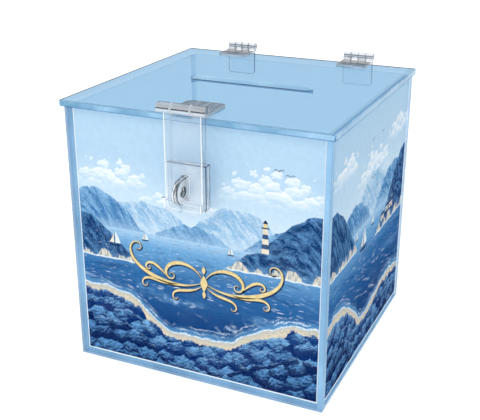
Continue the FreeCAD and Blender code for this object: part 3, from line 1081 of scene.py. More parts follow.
class Barrel(Enum):
    """The knuckle rows, and the block below the front one."""

    # The bands are painted light and shade round the barrel
    REAR = KnuckleTones(
        "lid_hinge",
        ((0.02, 130), (0.05, 246), (0.25, 234), (0.3, 150), (0.35, 226), (0.42, 246), (0.53, 246),
         (0.55, 130), (0.575, 130), (0.595, 246), (0.7, 250), (0.745, 176), (0.79, 108), (0.84, 214),
         (0.9, 246), (0.96, 240), (0.98, 130)),
        0.88, screen(64, 72, 80))
    FRONT = KnuckleTones(
        "strap_hinge",
        ((0.33, 196), (0.45, 240), (0.482, 230), (0.492, 46), (0.522, 40), (0.534, 218), (0.57, 200),
         (0.66, 196), (0.7, 176), (0.73, 100), (0.78, 76), (0.85, 150), (0.9, 206)),
        0.6, screen(224, 229, 234), 7.2)
    # The block's ring tone is a painted dark reflection on its top and right eased edges
    BLOCK = KnuckleTones("strap_hinge", ((0.33, 196), (0.7, 230)), 0.62, screen(54, 62, 70))

    @property
    def joint(self) -> str:
        """The joint's name."""
        return self.value.joint

    def finishes(self) -> tuple[Finish, ...]:
        """The knuckles' finish and that of their eased ends."""
        look: KnuckleTones = self.value
        label = self.name.lower()
        axis = joint_axis(look.joint)
        return (
            ClearBarrel(f"moulding_barrel_{label}", axis, look.bands, look.cover, look.joint_at),
            # The rings: the ring tone from outside and a painted dark line from within
            EasedRim(f"moulding_ring_{label}", look.ring, screen(96, 106, 116), 0.85, 0.4, 0.0),
        )


@dataclass(frozen=True)
class MouldingTones:
    """A clear moulding's look: its body and flow marks, its rims from both sides as a painted highlight and a
    painted dark line, and its narrow sides with painted lines of shade.
    """

    body: Colour
    flow: Colour
    haze: float
    glancing: float
    # The rim's painted highlight from outside, and its painted dark line and cover from within
    rim: Colour
    far_rim: Colour
    far_cover: float
    side_cover: float
    stretch: float = 1.0
    side_pitch: float = 0.03
    # The painted shade of the narrow sides' dark lines
    side_dark: Colour = screen(92, 104, 116)


class Moulding(Enum):
    """The looks that the clear mouldings take."""

    SMOKY = MouldingTones(screen(58, 60, 62), screen(124, 126, 130), 0.6, 0.2,
                          screen(160, 166, 172), screen(84, 92, 100), 0.5, 0.45, stretch=5.0)
    CRYSTAL = MouldingTones(screen(226, 236, 245), screen(246, 250, 253), 0.2, 0.25,
                            screen(254, 254, 255), screen(168, 190, 206), 0.25, 0.3)
    GHOST = MouldingTones(screen(228, 238, 246), screen(246, 250, 252), 0.03, 0.1,
                          screen(150, 176, 198), screen(70, 96, 118), 0.55, 0.2)
    FROSTED = MouldingTones(screen(180, 201, 219), screen(222, 233, 242), 0.42, 0.2,
                            screen(252, 253, 254), screen(62, 72, 82), 0.6, 0.6)
    GLASSY = MouldingTones(screen(206, 216, 226), screen(250, 251, 252), 0.45, 0.4,
                           screen(252, 253, 254), screen(40, 46, 52), 0.75, 0.9,
                           side_pitch=0.14, side_dark=screen(36, 42, 48))

    def finishes(self, barrel: Barrel, thin: int) -> tuple[Finish, ...]:
        """The moulding's finishes in the order of their roles.

        Args:
            barrel: The knuckle row that it belongs to.
            thin: The axis across the moulding's thickness.

        Returns:
            One finish for each role.
        """
        look: MouldingTones = self.value
        label = self.name.lower()
        wall = f"moulding_wall_{label}_{'xyz'[thin]}"
        return (
            ClearMoulding(f"moulding_{label}", look.body, look.flow, look.haze, look.glancing, look.stretch),
            # The rims: a painted highlight outside, a painted dark line within and a faint painted glow
            EasedRim(f"moulding_rim_{label}", look.rim, look.far_rim, 0.9, look.far_cover, 0.12),
            ClearWall(wall, thin, look.side_cover, look.side_pitch, look.side_dark),
            *barrel.finishes(),
        )


class Ink(Enum):
    """The inks of the crisp motifs, each with its light and its shade."""

    GOLD = ((250, 232, 176), (222, 190, 118))
    NAVY = ((22, 58, 104), (10, 32, 68))
    CREAM = ((250, 242, 224), (222, 206, 180))
    SLATE = ((70, 110, 152), (34, 66, 108))
    FOAM = ((250, 253, 255), (206, 228, 243))

    def finish(self) -> Finish:
        """The ink's finish."""
        light, shade = self.value
        return PrintInk(f"ink_{self.name.lower()}", screen(*light), screen(*shade))


def body_of(node: str) -> str:
    """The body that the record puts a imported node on."""
    bodies = frame["record"]["behaviour"]["bodies"]
    return next(body for body, nodes in bodies.items() if node in nodes)


class Workshop:
    """Turns meshes into finished pieces that ride on the frame's bodies."""

    @staticmethod
    def piece(name: str, mesh: bpy.types.Mesh, node: str, stands_in: bool = False) -> None:
        """Puts a mesh into the scene as a piece of the box.

        Args:
            name: The piece's name.
            mesh: Its finished mesh.
            node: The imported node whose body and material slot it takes.
            stands_in: Whether it replaces that node.
        """
        made = bpy.data.objects.new(name, mesh)
        bpy.context.scene.collection.objects.link(made)
        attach(made, body_of(node))
        if stands_in:
            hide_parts(node)
        LOG.info("%s: %d faces on %s", name, len(mesh.polygons), body_of(node))

    @staticmethod
    def stand_in(name: str, shape: bmesh.types.BMesh, node: str, finishes: Sequence[Finish]) -> None:
        """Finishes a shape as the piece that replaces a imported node.

        Args:
            name: The piece's name.
            shape: The shape, which is freed.
            node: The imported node.
            finishes: The piece's finishes in slot order.
        """
        Workshop.piece(name, Workshop.mesh(name, shape, finishes), node, stands_in=True)

    @staticmethod
    def mesh(
        name: str, shape: bmesh.types.BMesh, finishes: Sequence[Finish], crease: float = 20.0
    ) -> bpy.types.Mesh:
        """Closes a shape into a mesh with its materials.

        Args:
            name: The mesh's name.
            shape: The shape, which is freed.
            finishes: Its finishes in slot order.
            crease: The angle in degrees past which an edge stays sharp.

        Returns:
            The mesh.
        """
        bmesh.ops.recalc_face_normals(shape, faces=shape.faces)
        loose = sum(not edge.is_manifold for edge in shape.edges)
        if loose:
            LOG.warning("%s: %d edges are open", name, loose)
        made = bpy.data.meshes.new(name)
        for face in shape.faces:
            face.smooth = True
        shape.to_mesh(made)
        shape.free()
        made.set_sharp_from_angle(angle=math.radians(crease))
        for finish in finishes:
            made.materials.append(finish.material())
        return made

    @staticmethod
    def ease(shape: bmesh.types.BMesh, width: float, rim: int, angle: float = 35.0) -> None:
        """Eases a shape's sharp edges with narrow rounded rims.

        Args:
            shape: The shape to ease.
            width: The rim's set-back in metres.
            rim: The material slot that the rims take.
            angle: The angle in degrees past which an edge counts as sharp.
        """
        limit = math.radians(angle)
        sharp = [edge for edge in shape.edges if edge.is_manifold and edge.calc_face_angle(0.0) > limit]
        bmesh.ops.bevel(shape, geom=sharp, offset=width, offset_type="OFFSET", segments=2, profile=0.5,
                        affect="EDGES", clamp_overlap=True, material=rim, loop_slide=True)

    @staticmethod
    def copy_of(node: str) -> bmesh.types.BMesh:
        """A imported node's shape with its doubles merged and its flat faces joined."""
        shape = bmesh.new()
        shape.from_mesh(frame["nodes"][node].data)
        bmesh.ops.remove_doubles(shape, verts=shape.verts, dist=WELD)
        flat = math.radians(FLAT_ANGLE)
        bmesh.ops.dissolve_limit(shape, angle_limit=flat, verts=shape.verts, edges=shape.edges)
        return shape

    @staticmethod
    def block(middle: Vector, size: Vector) -> bmesh.types.BMesh:
        """A block by its middle and its size in metres."""
        shape = bmesh.new()
        place = Matrix.Translation(middle) @ Matrix.Diagonal((*size, 1.0))
        bmesh.ops.create_cube(shape, size=1.0, matrix=place)
        return shape

    @staticmethod
    def cut(shape: bmesh.types.BMesh, place: float) -> None:
        """Cuts across a shape's faces at one place between left and right, and keeps both sides."""
        geometry = [*shape.verts, *shape.edges, *shape.faces]
        bmesh.ops.bisect_plane(shape, geom=geometry, dist=CUT_SNAP,
                               plane_co=(place, 0.0, 0.0), plane_no=(1.0, 0.0, 0.0))


@dataclass
class AcrylicCase:
    """The five cemented sheets of the box."""

    tints: dict[str, Sheet] = field(default_factory=lambda: {
        "base_panel": Sheet.BACK,
        "front_panel": Sheet.FRONT,
        "back_panel": Sheet.BACK,
        "left_panel": Sheet.BACK,
        "right_panel": Sheet.SIDE,
    })
    seam: float = 0.02 * MM
    rim: float = 0.3 * MM

    def build(self) -> None:
        """Builds every sheet and dresses it."""
        for node, tint in self.tints.items():
            Workshop.stand_in(f"{node}_sheet", self.sheet(node), node, tint.finishes())

    def sheet(self, node: str) -> bmesh.types.BMesh:
        """Cuts one sheet, a hair clear of its cemented neighbours.

        Args:
            node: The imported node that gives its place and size.

        Returns:
            The sheet's shape, with each face's material slot set.
        """
        low, high = (Vector(corner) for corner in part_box(node))
        size = high - low - Vector((2.0, 2.0, 2.0)) * self.seam
        thin = min(range(3), key=lambda axis: size[axis])
        shape = Workshop.block((low + high) / 2.0, size)
        for face in shape.faces:
            face.material_index = self.slot_for(node, face, thin)
        Workshop.ease(shape, self.rim, Slot.EDGE)
        shape.normal_update()
        for face in shape.faces:
            if face.material_index == Slot.EDGE and face.normal.z > LEANS:
                face.material_index = Slot.FACE
        return shape

    def slot_for(self, node: str, face: bmesh.types.BMFace, thin: int) -> Slot:
        """The material slot of a sheet's face.

        Args:
            node: The sheet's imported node.
            face: The face.
            thin: The axis across the sheet's thickness.

        Returns:
            A pane's slot on an outer face over a film, a pale edge's on an upper edge that shows through the
            lid, and else a plain face's or a sawn edge's.
        """
        bare = self.tints[node] is Sheet.BACK
        if abs(face.normal[thin]) > FACES:
            outer = face.normal.dot(face.calc_center_median()) > 0.0
            return Slot.OVER if outer and not bare else Slot.FACE
        if face.normal.z > FACES:
            return Slot.FACE if bare else Slot.PALE
        return Slot.EDGE


@dataclass
class SlottedLid:
    """The lid's sheet with its round-ended ballot slot."""

    node: str = "lid_panel"
    slot_long: float = 100.0 * MM
    slot_wide: float = 11.0 * MM
    end_steps: int = 14
    seam: float = 0.02 * MM
    rim: float = 0.85 * MM
    band: float = 5.0 * MM
    slot_room: float = 0.6
    far_side: float = -0.3

    def build(self) -> None:
        """Builds the lid and dresses it."""
        shape = self.sheet()
        band_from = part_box(self.node)[1][0] - self.band
        Workshop.cut(shape, band_from)
        Workshop.ease(shape, self.rim, Slot.RIM)
        shape.normal_update()
        for face in shape.faces:
            if face.material_index == Slot.RIM:
                face.material_index = self.rim_slot(face)
            elif face.normal.x > SQUARE_ON and face.material_index == Slot.EDGE:
                face.material_index = Slot.PALE
            # The top face's right-hand strip takes the painted band
            elif face.normal.z > SQUARE_ON and face.calc_center_median().x > band_from:
                face.material_index = Slot.OVER
        Workshop.stand_in("lid_sheet", shape, self.node, Sheet.LID.finishes())

    def rim_slot(self, face: bmesh.types.BMFace) -> Slot:
        """The slot of an eased rim: a painted line on upper edges, dark from within, but not at the right or
        on the slot's far side.
        """
        middle = face.calc_center_median()
        if face.normal.z < LEANS:
            return Slot.FACE
        if abs(middle.x) < self.slot_long * self.slot_room and abs(middle.y) < self.slot_wide:
            return Slot.RIM if face.normal.y > self.far_side else Slot.PALE
        return Slot.EDGE if face.normal.x > LEANS else Slot.RIM

    def slot_outline(self) -> list[Flat]:
        """The slot's outline, anticlockwise from its right end's lower corner."""
        radius = self.slot_wide / 2.0
        straight = self.slot_long / 2.0 - radius
        outline: list[Flat] = []
        for side in (1.0, -1.0):
            for step in range(self.end_steps + 1):
                turn = math.pi * (step / self.end_steps - 0.5)
                outline.append((side * (straight + radius * math.cos(turn)), side * radius * math.sin(turn)))
        return outline

    def sheet(self) -> bmesh.types.BMesh:
        """Cuts the lid with its slot.

        Returns:
            The lid's shape, with its sawn edges' slots set.
        """
        low, high = (Vector(corner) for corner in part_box(self.node))
        low += Vector((1.0, 1.0, 1.0)) * self.seam
        high -= Vector((1.0, 1.0, 1.0)) * self.seam
        outer = [(high.x, low.y), (high.x, high.y), (low.x, high.y), (low.x, low.y)]
        inner = self.slot_outline()
        shape = bmesh.new()
        rings = []
        for level in (low.z, high.z):
            rings.append(([shape.verts.new((x, y, level)) for x, y in outer],
                          [shape.verts.new((x, y, level)) for x, y in inner]))
        half = len(inner) // 2
        for outer_ring, inner_ring in rings:
            right = [inner_ring[index] for index in range(half)]
            left = [inner_ring[index] for index in range(half, 2 * half)]
            shape.faces.new([outer_ring[0], outer_ring[1], *reversed(right)])
            shape.faces.new([outer_ring[1], outer_ring[2], left[0], right[-1]])
            shape.faces.new([outer_ring[2], outer_ring[3], *reversed(left)])
            shape.faces.new([outer_ring[3], outer_ring[0], right[0], left[-1]])
        for bottom, top, slot in zip(rings[0], rings[1], (Slot.EDGE, Slot.PALE)):
            count = len(bottom)
            for index in range(count):
                following = (index + 1) % count
                wall = shape.faces.new([bottom[index], bottom[following], top[following], top[index]])
                wall.material_index = slot
        bmesh.ops.recalc_face_normals(shape, faces=shape.faces)
        return shape


def joint_axis(name: str) -> Flat:
    """A joint's place as its y and z in millimetres."""
    joint = next(row for row in frame["record"]["behaviour"]["joints"] if row["name"] == name)
    return (joint["pos_m"][1] / MM, joint["pos_m"][2] / MM)


@dataclass(frozen=True)
class ClearPart:
    """One clear moulding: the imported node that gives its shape, its look and where its barrel turns."""

    node: str
    look: Moulding
    thin: int
    row: Barrel
    barrel: float
    rim: float
    strip_from: float = 0.0
    flat_share: float = 0.7
    block_tilt: float = 0.3
    ring_tilt: float = 0.2

    def build(self) -> None:
        """Eases the node's edges, gives each face its role and dresses them."""
        shape = Workshop.copy_of(self.node)
        axis = joint_axis(self.row.joint)
        if self.strip_from:
            self.cut_strips(shape)
        for face in shape.faces:
            face.material_index = self.role(face, axis)
        Workshop.ease(shape, self.rim, Role.RIM)
        for face in shape.faces:
            if face.material_index == Role.RIM and self.is_ring(face, axis):
                face.material_index = Role.RING
        finishes = self.look.finishes(self.row, self.thin)
        Workshop.stand_in(f"{self.node}_moulding", shape, self.node, finishes)

    def cut_strips(self, shape: bmesh.types.BMesh) -> None:
        """Cuts narrow strips off the faces along the moulding's two long sides, for painted highlight lines.
        """
        for place in (-self.strip_from, self.strip_from):
            Workshop.cut(shape, place)

    def near_axis(self, face: bmesh.types.BMFace, axis: Flat) -> bool:
        """Whether a face lies on the barrel."""
        middle = face.calc_center_median() / MM
        return math.hypot(middle.y - axis[0], middle.z - axis[1]) < self.barrel

    def role(self, face: bmesh.types.BMFace, axis: Flat) -> Role:
        """The role of a face: on the barrel, on the flat, or on a narrow side."""
        if self.near_axis(face, axis):
            return Role.BARREL
        flat = abs(face.normal[self.thin]) > self.flat_share
        # Strips along the long sides take the rim's painted highlight
        if self.strip_from and flat and abs(face.calc_center_median().x) > self.strip_from:
            return Role.RIM
        return Role.FACE if flat else Role.WALL

    def is_ring(self, face: bmesh.types.BMFace, axis: Flat) -> bool:
        """Whether an eased edge takes the ring's tone: a knuckle's end, or a top or right edge of the block,
        painted dark as a dark reflection.
        """
        # The block's top and right edges take a painted dark reflection
        if self.row is Barrel.BLOCK:
            return max(face.normal.z, face.normal.x) > self.block_tilt
        return self.near_axis(face, axis) and abs(face.normal.x) > self.ring_tilt


@dataclass(frozen=True)
class SteelPin:
    """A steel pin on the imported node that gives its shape, with its ends chamfered."""

    node: str
    chamfer: float = 0.2 * MM
    sharp: float = 60.0

    def build(self) -> None:
        """Chamfers the pin's ends and dresses it."""
        shape = Workshop.copy_of(self.node)
        Workshop.ease(shape, self.chamfer, 0, self.sharp)
        Workshop.stand_in(f"{self.node}_wire", shape, self.node, (DrawnSteel("drawn_steel"),))


@dataclass
class RearHinge:
    """One rear hinge: a leaf on the lid, a leaf on the back wall and the pin through both."""

    side: str
    rim: float = 0.34 * MM
    barrel: float = 3.3

    def build(self) -> None:
        """Builds both leaves and the pin."""
        for part, look, thin in (("lid_leaf", Moulding.SMOKY, 2), ("wall_leaf", Moulding.GHOST, 1)):
            ClearPart(f"hinge_{part}_{self.side}", look, thin, Barrel.REAR, self.barrel, self.rim).build()
        SteelPin(f"hinge_pin_{self.side}").build()


@dataclass
class FrontHasp:
    """The hasp: its leaf on the lid, the swinging strap, the pin, and the block with the padlock eye."""

    barrel: float = 4.0

    def build(self) -> None:
        """Builds the hasp's mouldings and its pin."""
        # The strap's strips carry painted highlight lines, and the block's top and right edges a painted dark
        # reflection
        for node, look, thin, row, rim, strip_from in (
            ("hasp_lid_leaf", Moulding.SMOKY, 2, Barrel.FRONT, 0.4, 0.0),
            ("hasp_strap", Moulding.CRYSTAL, 1, Barrel.FRONT, 0.8, 13.4),
            ("hasp_block", Moulding.FROSTED, 1, Barrel.BLOCK, 0.6, 0.0),
            ("padlock_eye", Moulding.GLASSY, 0, Barrel.BLOCK, 0.5, 0.0),
        ):
            ClearPart(node, look, thin, row, self.barrel, rim * MM, strip_from * MM).build()
        SteelPin("hasp_pin").build()


@dataclass(frozen=True)
class FilmPlace:
    """A film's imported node, its start along the picture in millimetres and its turn in degrees."""

    node: str
    start: float
    turn: float


class Wall(Enum):
    """The two walls that carry a printed film."""

    FRONT = FilmPlace("front_print_film", 0.0, 0.0)
    RIGHT = FilmPlace("right_print_film", 190.0, 90.0)

    @property
    def node(self) -> str:
        """The film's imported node."""
        return self.value.node

    def place(self) -> Matrix:
        """The turn and shift from the picture's flat millimetres to the wall."""
        turn = Matrix.Rotation(math.radians(self.value.turn), 4, "Z")
        shift = Matrix.Translation((-self.value.start * MM, 0.0, 0.0))
        return turn @ shift @ Matrix.Scale(MM, 4)


class Layer(Enum):
    """The print's layers, as their far and near distance from the wall's inner face in millimetres."""

    UNDER = (0.112, 0.084)
    MAIN = (0.080, 0.054)
    OVER = (0.050, 0.024)


@dataclass
class MotifSheet:
    """Collects the crisp motifs of one wall as thin closed prisms of ink."""

    wall: Wall
    face: float = -95.0
    shape: bmesh.types.BMesh = field(default_factory=bmesh.new)
    inks: list[Ink] = field(default_factory=list)

    def ink(self, ink: Ink) -> int:
        """The material slot of an ink."""
        if ink not in self.inks:
            self.inks.append(ink)
        return self.inks.index(ink)

    def loft(self, sections: Sequence[Sequence[Spot]], ink: Ink) -> None:
        """Adds a closed solid that runs through a row of sections.

        Args:
            sections: Each section's corners in picture millimetres, in matching order.
            ink: Its ink.
        """
        slot = self.ink(ink)
        rings = [[self.shape.verts.new(corner) for corner in section] for section in sections]
        faces = [self.shape.faces.new(rings[0]), self.shape.faces.new(reversed(rings[-1]))]
        for first, second in zip(rings, rings[1:]):
            for index in range(len(first)):
                following = (index + 1) % len(first)
                corners = (first[following], first[index], second[index], second[following])
                faces.append(self.shape.faces.new(corners))
        for face in faces:
            face.material_index = slot

    def prism(self, outline: Sequence[Flat], ink: Ink, layer: Layer) -> None:
        """Adds a flat outline as a thin prism.

        Args:
            outline: Its corners in picture millimetres.
            ink: Its ink.
            layer: Its layer.
        """
        depths = (self.face + depth for depth in layer.value)
        self.loft([[(along, depth, height) for along, height in outline] for depth in depths], ink)

    def ribbon(self, line: Sequence[Flat], widths: Sequence[float], ink: Ink, layer: Layer) -> None:
        """Adds a stroke of changing width as a thin closed ribbon.

        Args:
            line: The stroke's middle line in picture millimetres.
            widths: Its width at each point.
            ink: Its ink.
            layer: Its layer.
        """
        far, near = (self.face + depth for depth in layer.value)
        sections = []
        for index, (along, height) in enumerate(line):
            before, after = line[max(index - 1, 0)], line[min(index + 1, len(line) - 1)]
            run = Vector((after[0] - before[0], after[1] - before[1])).normalized()
            reach = Vector((-run.y, run.x)) * widths[index] / 2.0
            corners = ((reach, near), (reach, far), (-reach, far), (-reach, near))
            sections.append([(along + side.x, depth, height + side.y) for side, depth in corners])
        self.loft(sections, ink)

    def finish(self, name: str) -> None:
        """Puts the collected motifs on their wall as one piece."""
        self.shape.transform(self.wall.place())
        mesh = Workshop.mesh(name, self.shape, [ink.finish() for ink in self.inks])
        Workshop.piece(name, mesh, self.wall.node)


@dataclass(frozen=True)
class Stroke:
    """One scroll of the gold ornament: a line whose bend grows towards a curl at its end."""

    start: Flat
    heading: float
    length: float
    bend: float
    curl: float
    sharpness: float
    thick: float
    thin: float = 0.45
    peak: float = 0.42
    steps: int = 84

    def line(self) -> list[Flat]:
        """The stroke's middle line, followed from its start."""
        along, height = self.start
        heading = math.radians(self.heading)
        pace = self.length / self.steps
        points: list[Flat] = []
        for step in range(self.steps + 1):
            share = step / self.steps
            points.append((along, height))
            heading += math.radians(self.bend * (1.0 - share) + self.curl * share ** self.sharpness) * pace
            along += math.cos(heading) * pace
            height += math.sin(heading) * pace
        return points

    def widths(self) -> list[float]:
        """The stroke's width along its line, thickest at its peak."""
        swell: list[float] = []
        for step in range(self.steps + 1):
            share = step / self.steps
            rise = share / self.peak if share < self.peak else (1.0 - share) / (1.0 - self.peak)
            swell.append(self.thin + (self.thick - self.thin) * math.sin(rise * math.pi / 2.0) ** 1.5)
        return swell


@dataclass
class ScrollOrnament:
    """The gold scrollwork in the middle of the front film, the same on both sides of its middle."""

    middle: Flat = (7.0, 84.0)
    scale: float = 0.8
    outline: float = 1.1
    fall: Flat = (0.5, -0.55)
    lozenge: Flat = (3.0, 6.4)
    hollow: float = 1.7
    quarter_steps: int = 6
    strokes: tuple[Stroke, ...] = (
        Stroke((2.0, -4.0), -28.0, 112.0, 1.15, 24.0, 6.0, 3.8),
        Stroke((2.5, 1.0), 62.0, 66.0, -3.0, -30.0, 4.0, 3.4),
        Stroke((26.0, -9.0), -20.0, 50.0, 2.0, -34.0, 4.0, 2.8),
        Stroke((37.0, -4.5), 50.0, 38.0, -1.0, -42.0, 3.0, 2.6),
        Stroke((3.0, -8.0), -40.0, 42.0, 2.4, -36.0, 4.0, 2.6),
    )

    def draw(self, motifs: MotifSheet) -> None:
        """Draws the scrolls, their dark outline and the lozenges between them."""
        for side in (1.0, -1.0):
            for stroke in self.strokes:
                line = [self.at(side * along, height) for along, height in stroke.line()]
                gold = [width * self.scale for width in stroke.widths()]
                dark = [(along + self.fall[0], height + self.fall[1]) for along, height in line]
                motifs.ribbon(dark, [width + self.outline for width in gold], Ink.NAVY, Layer.UNDER)
                motifs.ribbon(line, gold, Ink.GOLD, Layer.OVER)
        for height, share in ((-4.0, 1.0), (9.0, 0.5), (-15.0, 0.5)):
            self.draw_lozenge(motifs, height, share)

    def at(self, along: float, height: float) -> Flat:
        """A point of the ornament in picture millimetres."""
        return (self.middle[0] + along * self.scale, self.middle[1] + height * self.scale)

    def draw_lozenge(self, motifs: MotifSheet, height: float, share: float) -> None:
        """Draws one lozenge with hollow sides on the ornament's middle line.

        Args:
            motifs: The wall's motifs.
            height: Its middle's height in the ornament.
            share: Its share of the full size.
        """
        corners: list[Flat] = []
        for quarter in range(4):
            for step in range(self.quarter_steps):
                turn = (quarter + step / self.quarter_steps) * math.pi / 2.0
                corners.append((math.copysign(abs(math.cos(turn)) ** self.hollow, math.cos(turn)),
                                math.copysign(abs(math.sin(turn)) ** self.hollow, math.sin(turn))))
        for ink, layer, grow, shift in (
            (Ink.NAVY, Layer.UNDER, self.outline / 2.0, self.fall),
            (Ink.GOLD, Layer.OVER, 0.0, (0.0, 0.0)),
        ):
            wide, tall = (reach * share + grow for reach in self.lozenge)
            spot = self.at(0.0, height)
            left, low = spot[0] + shift[0], spot[1] + shift[1]
            outline = [(left + along * wide, low + rise * tall) for along, rise in corners]
            motifs.prism(outline, ink, layer)


@dataclass(frozen=True)
class SailBoat:
    """A small boat with two sails."""

    spot: Flat
    scale: float

    def draw(self, motifs: MotifSheet) -> None:
        """Draws the hull, the mast and both sails."""
        hull = ((-5.2, 0.6), (-3.9, -0.9), (3.6, -0.9), (5.9, 1.1), (0.5, 0.45))
        mast = ((-0.2, 0.5), (0.25, 0.5), (0.15, 11.6), (-0.1, 11.6))
        main = ((0.5, 1.5), (5.0, 1.8), (3.9, 5.2), (2.4, 8.4), (0.5, 11.2))
        jib = ((-0.6, 1.6), (-0.5, 9.6), (-1.9, 6.2), (-3.2, 3.6), (-4.6, 1.9))
        for outline, ink, layer in ((hull, Ink.NAVY, Layer.MAIN), (mast, Ink.SLATE, Layer.MAIN),
                                    (main, Ink.FOAM, Layer.OVER), (jib, Ink.CREAM, Layer.OVER)):
            motifs.prism(self.set_down(outline), ink, layer)

    def set_down(self, outline: Iterable[Flat]) -> list[Flat]:
        """The outline at the boat's place and size."""
        left, low = self.spot
        return [(left + along * self.scale, low + height * self.scale) for along, height in outline]


@dataclass(frozen=True)
class Lighthouse(SailBoat):
    """A white tower with two dark bands, a gallery and a lantern."""

    tall: float = 16.0
    foot: float = 2.5
    head: float = 1.6

    def draw(self, motifs: MotifSheet) -> None:
        """Draws the tower from its foot to its cap."""
        motifs.prism(self.set_down(self.storey(0.0, 1.0)), Ink.CREAM, Layer.MAIN)
        for low, high in ((0.2, 0.38), (0.6, 0.78)):
            motifs.prism(self.set_down(self.storey(low, high)), Ink.SLATE, Layer.OVER)
        top = self.tall
        gallery = ((-2.4, top), (2.4, top), (2.4, top + 0.8), (-2.4, top + 0.8))
        lantern = ((-1.2, top + 0.8), (1.2, top + 0.8), (1.2, top + 3.2), (-1.2, top + 3.2))
        cap = ((-1.8, top + 3.2), (1.8, top + 3.2), (0.9, top + 4.6), (0.0, top + 5.6), (-0.9, top + 4.6))
        for outline, ink in ((gallery, Ink.NAVY), (lantern, Ink.GOLD), (cap, Ink.NAVY)):
            motifs.prism(self.set_down(outline), ink, Layer.MAIN)

    def storey(self, low: float, high: float) -> tuple[Flat, ...]:
        """A stretch of the tower between two shares of its height."""
        wide_low = self.foot + (self.head - self.foot) * low
        wide_high = self.foot + (self.head - self.foot) * high
        return ((-wide_low, self.tall * low), (wide_low, self.tall * low),
                (wide_high, self.tall * high), (-wide_high, self.tall * high))


@dataclass(frozen=True)
class Cottage(SailBoat):
    """A cottage with a pitched roof, a chimney, a door and two windows."""

    def draw(self, motifs: MotifSheet) -> None:
        """Draws the walls, the roof and the openings."""
        walls = ((-4.0, 0.0), (4.0, 0.0), (4.0, 3.8), (-4.0, 3.8))
        roof = ((-4.7, 3.6), (4.7, 3.6), (3.3, 6.6), (-3.3, 6.6))
        chimney = ((1.6, 6.6), (2.7, 6.6), (2.7, 8.2), (1.6, 8.2))
        door = ((-0.6, 0.0), (0.7, 0.0), (0.7, 2.3), (-0.6, 2.3))
        panes = (((-3.0, 1.4), (-1.7, 1.4), (-1.7, 2.7), (-3.0, 2.7)),
                 ((1.8, 1.4), (3.1, 1.4), (3.1, 2.7), (1.8, 2.7)))
        for outline, ink, layer in ((walls, Ink.CREAM, Layer.MAIN), (roof, Ink.SLATE, Layer.OVER),
                                    (chimney, Ink.CREAM, Layer.MAIN), (door, Ink.NAVY, Layer.OVER)):
            motifs.prism(self.set_down(outline), ink, layer)
        for pane in panes:
            motifs.prism(self.set_down(pane), Ink.NAVY, Layer.OVER)


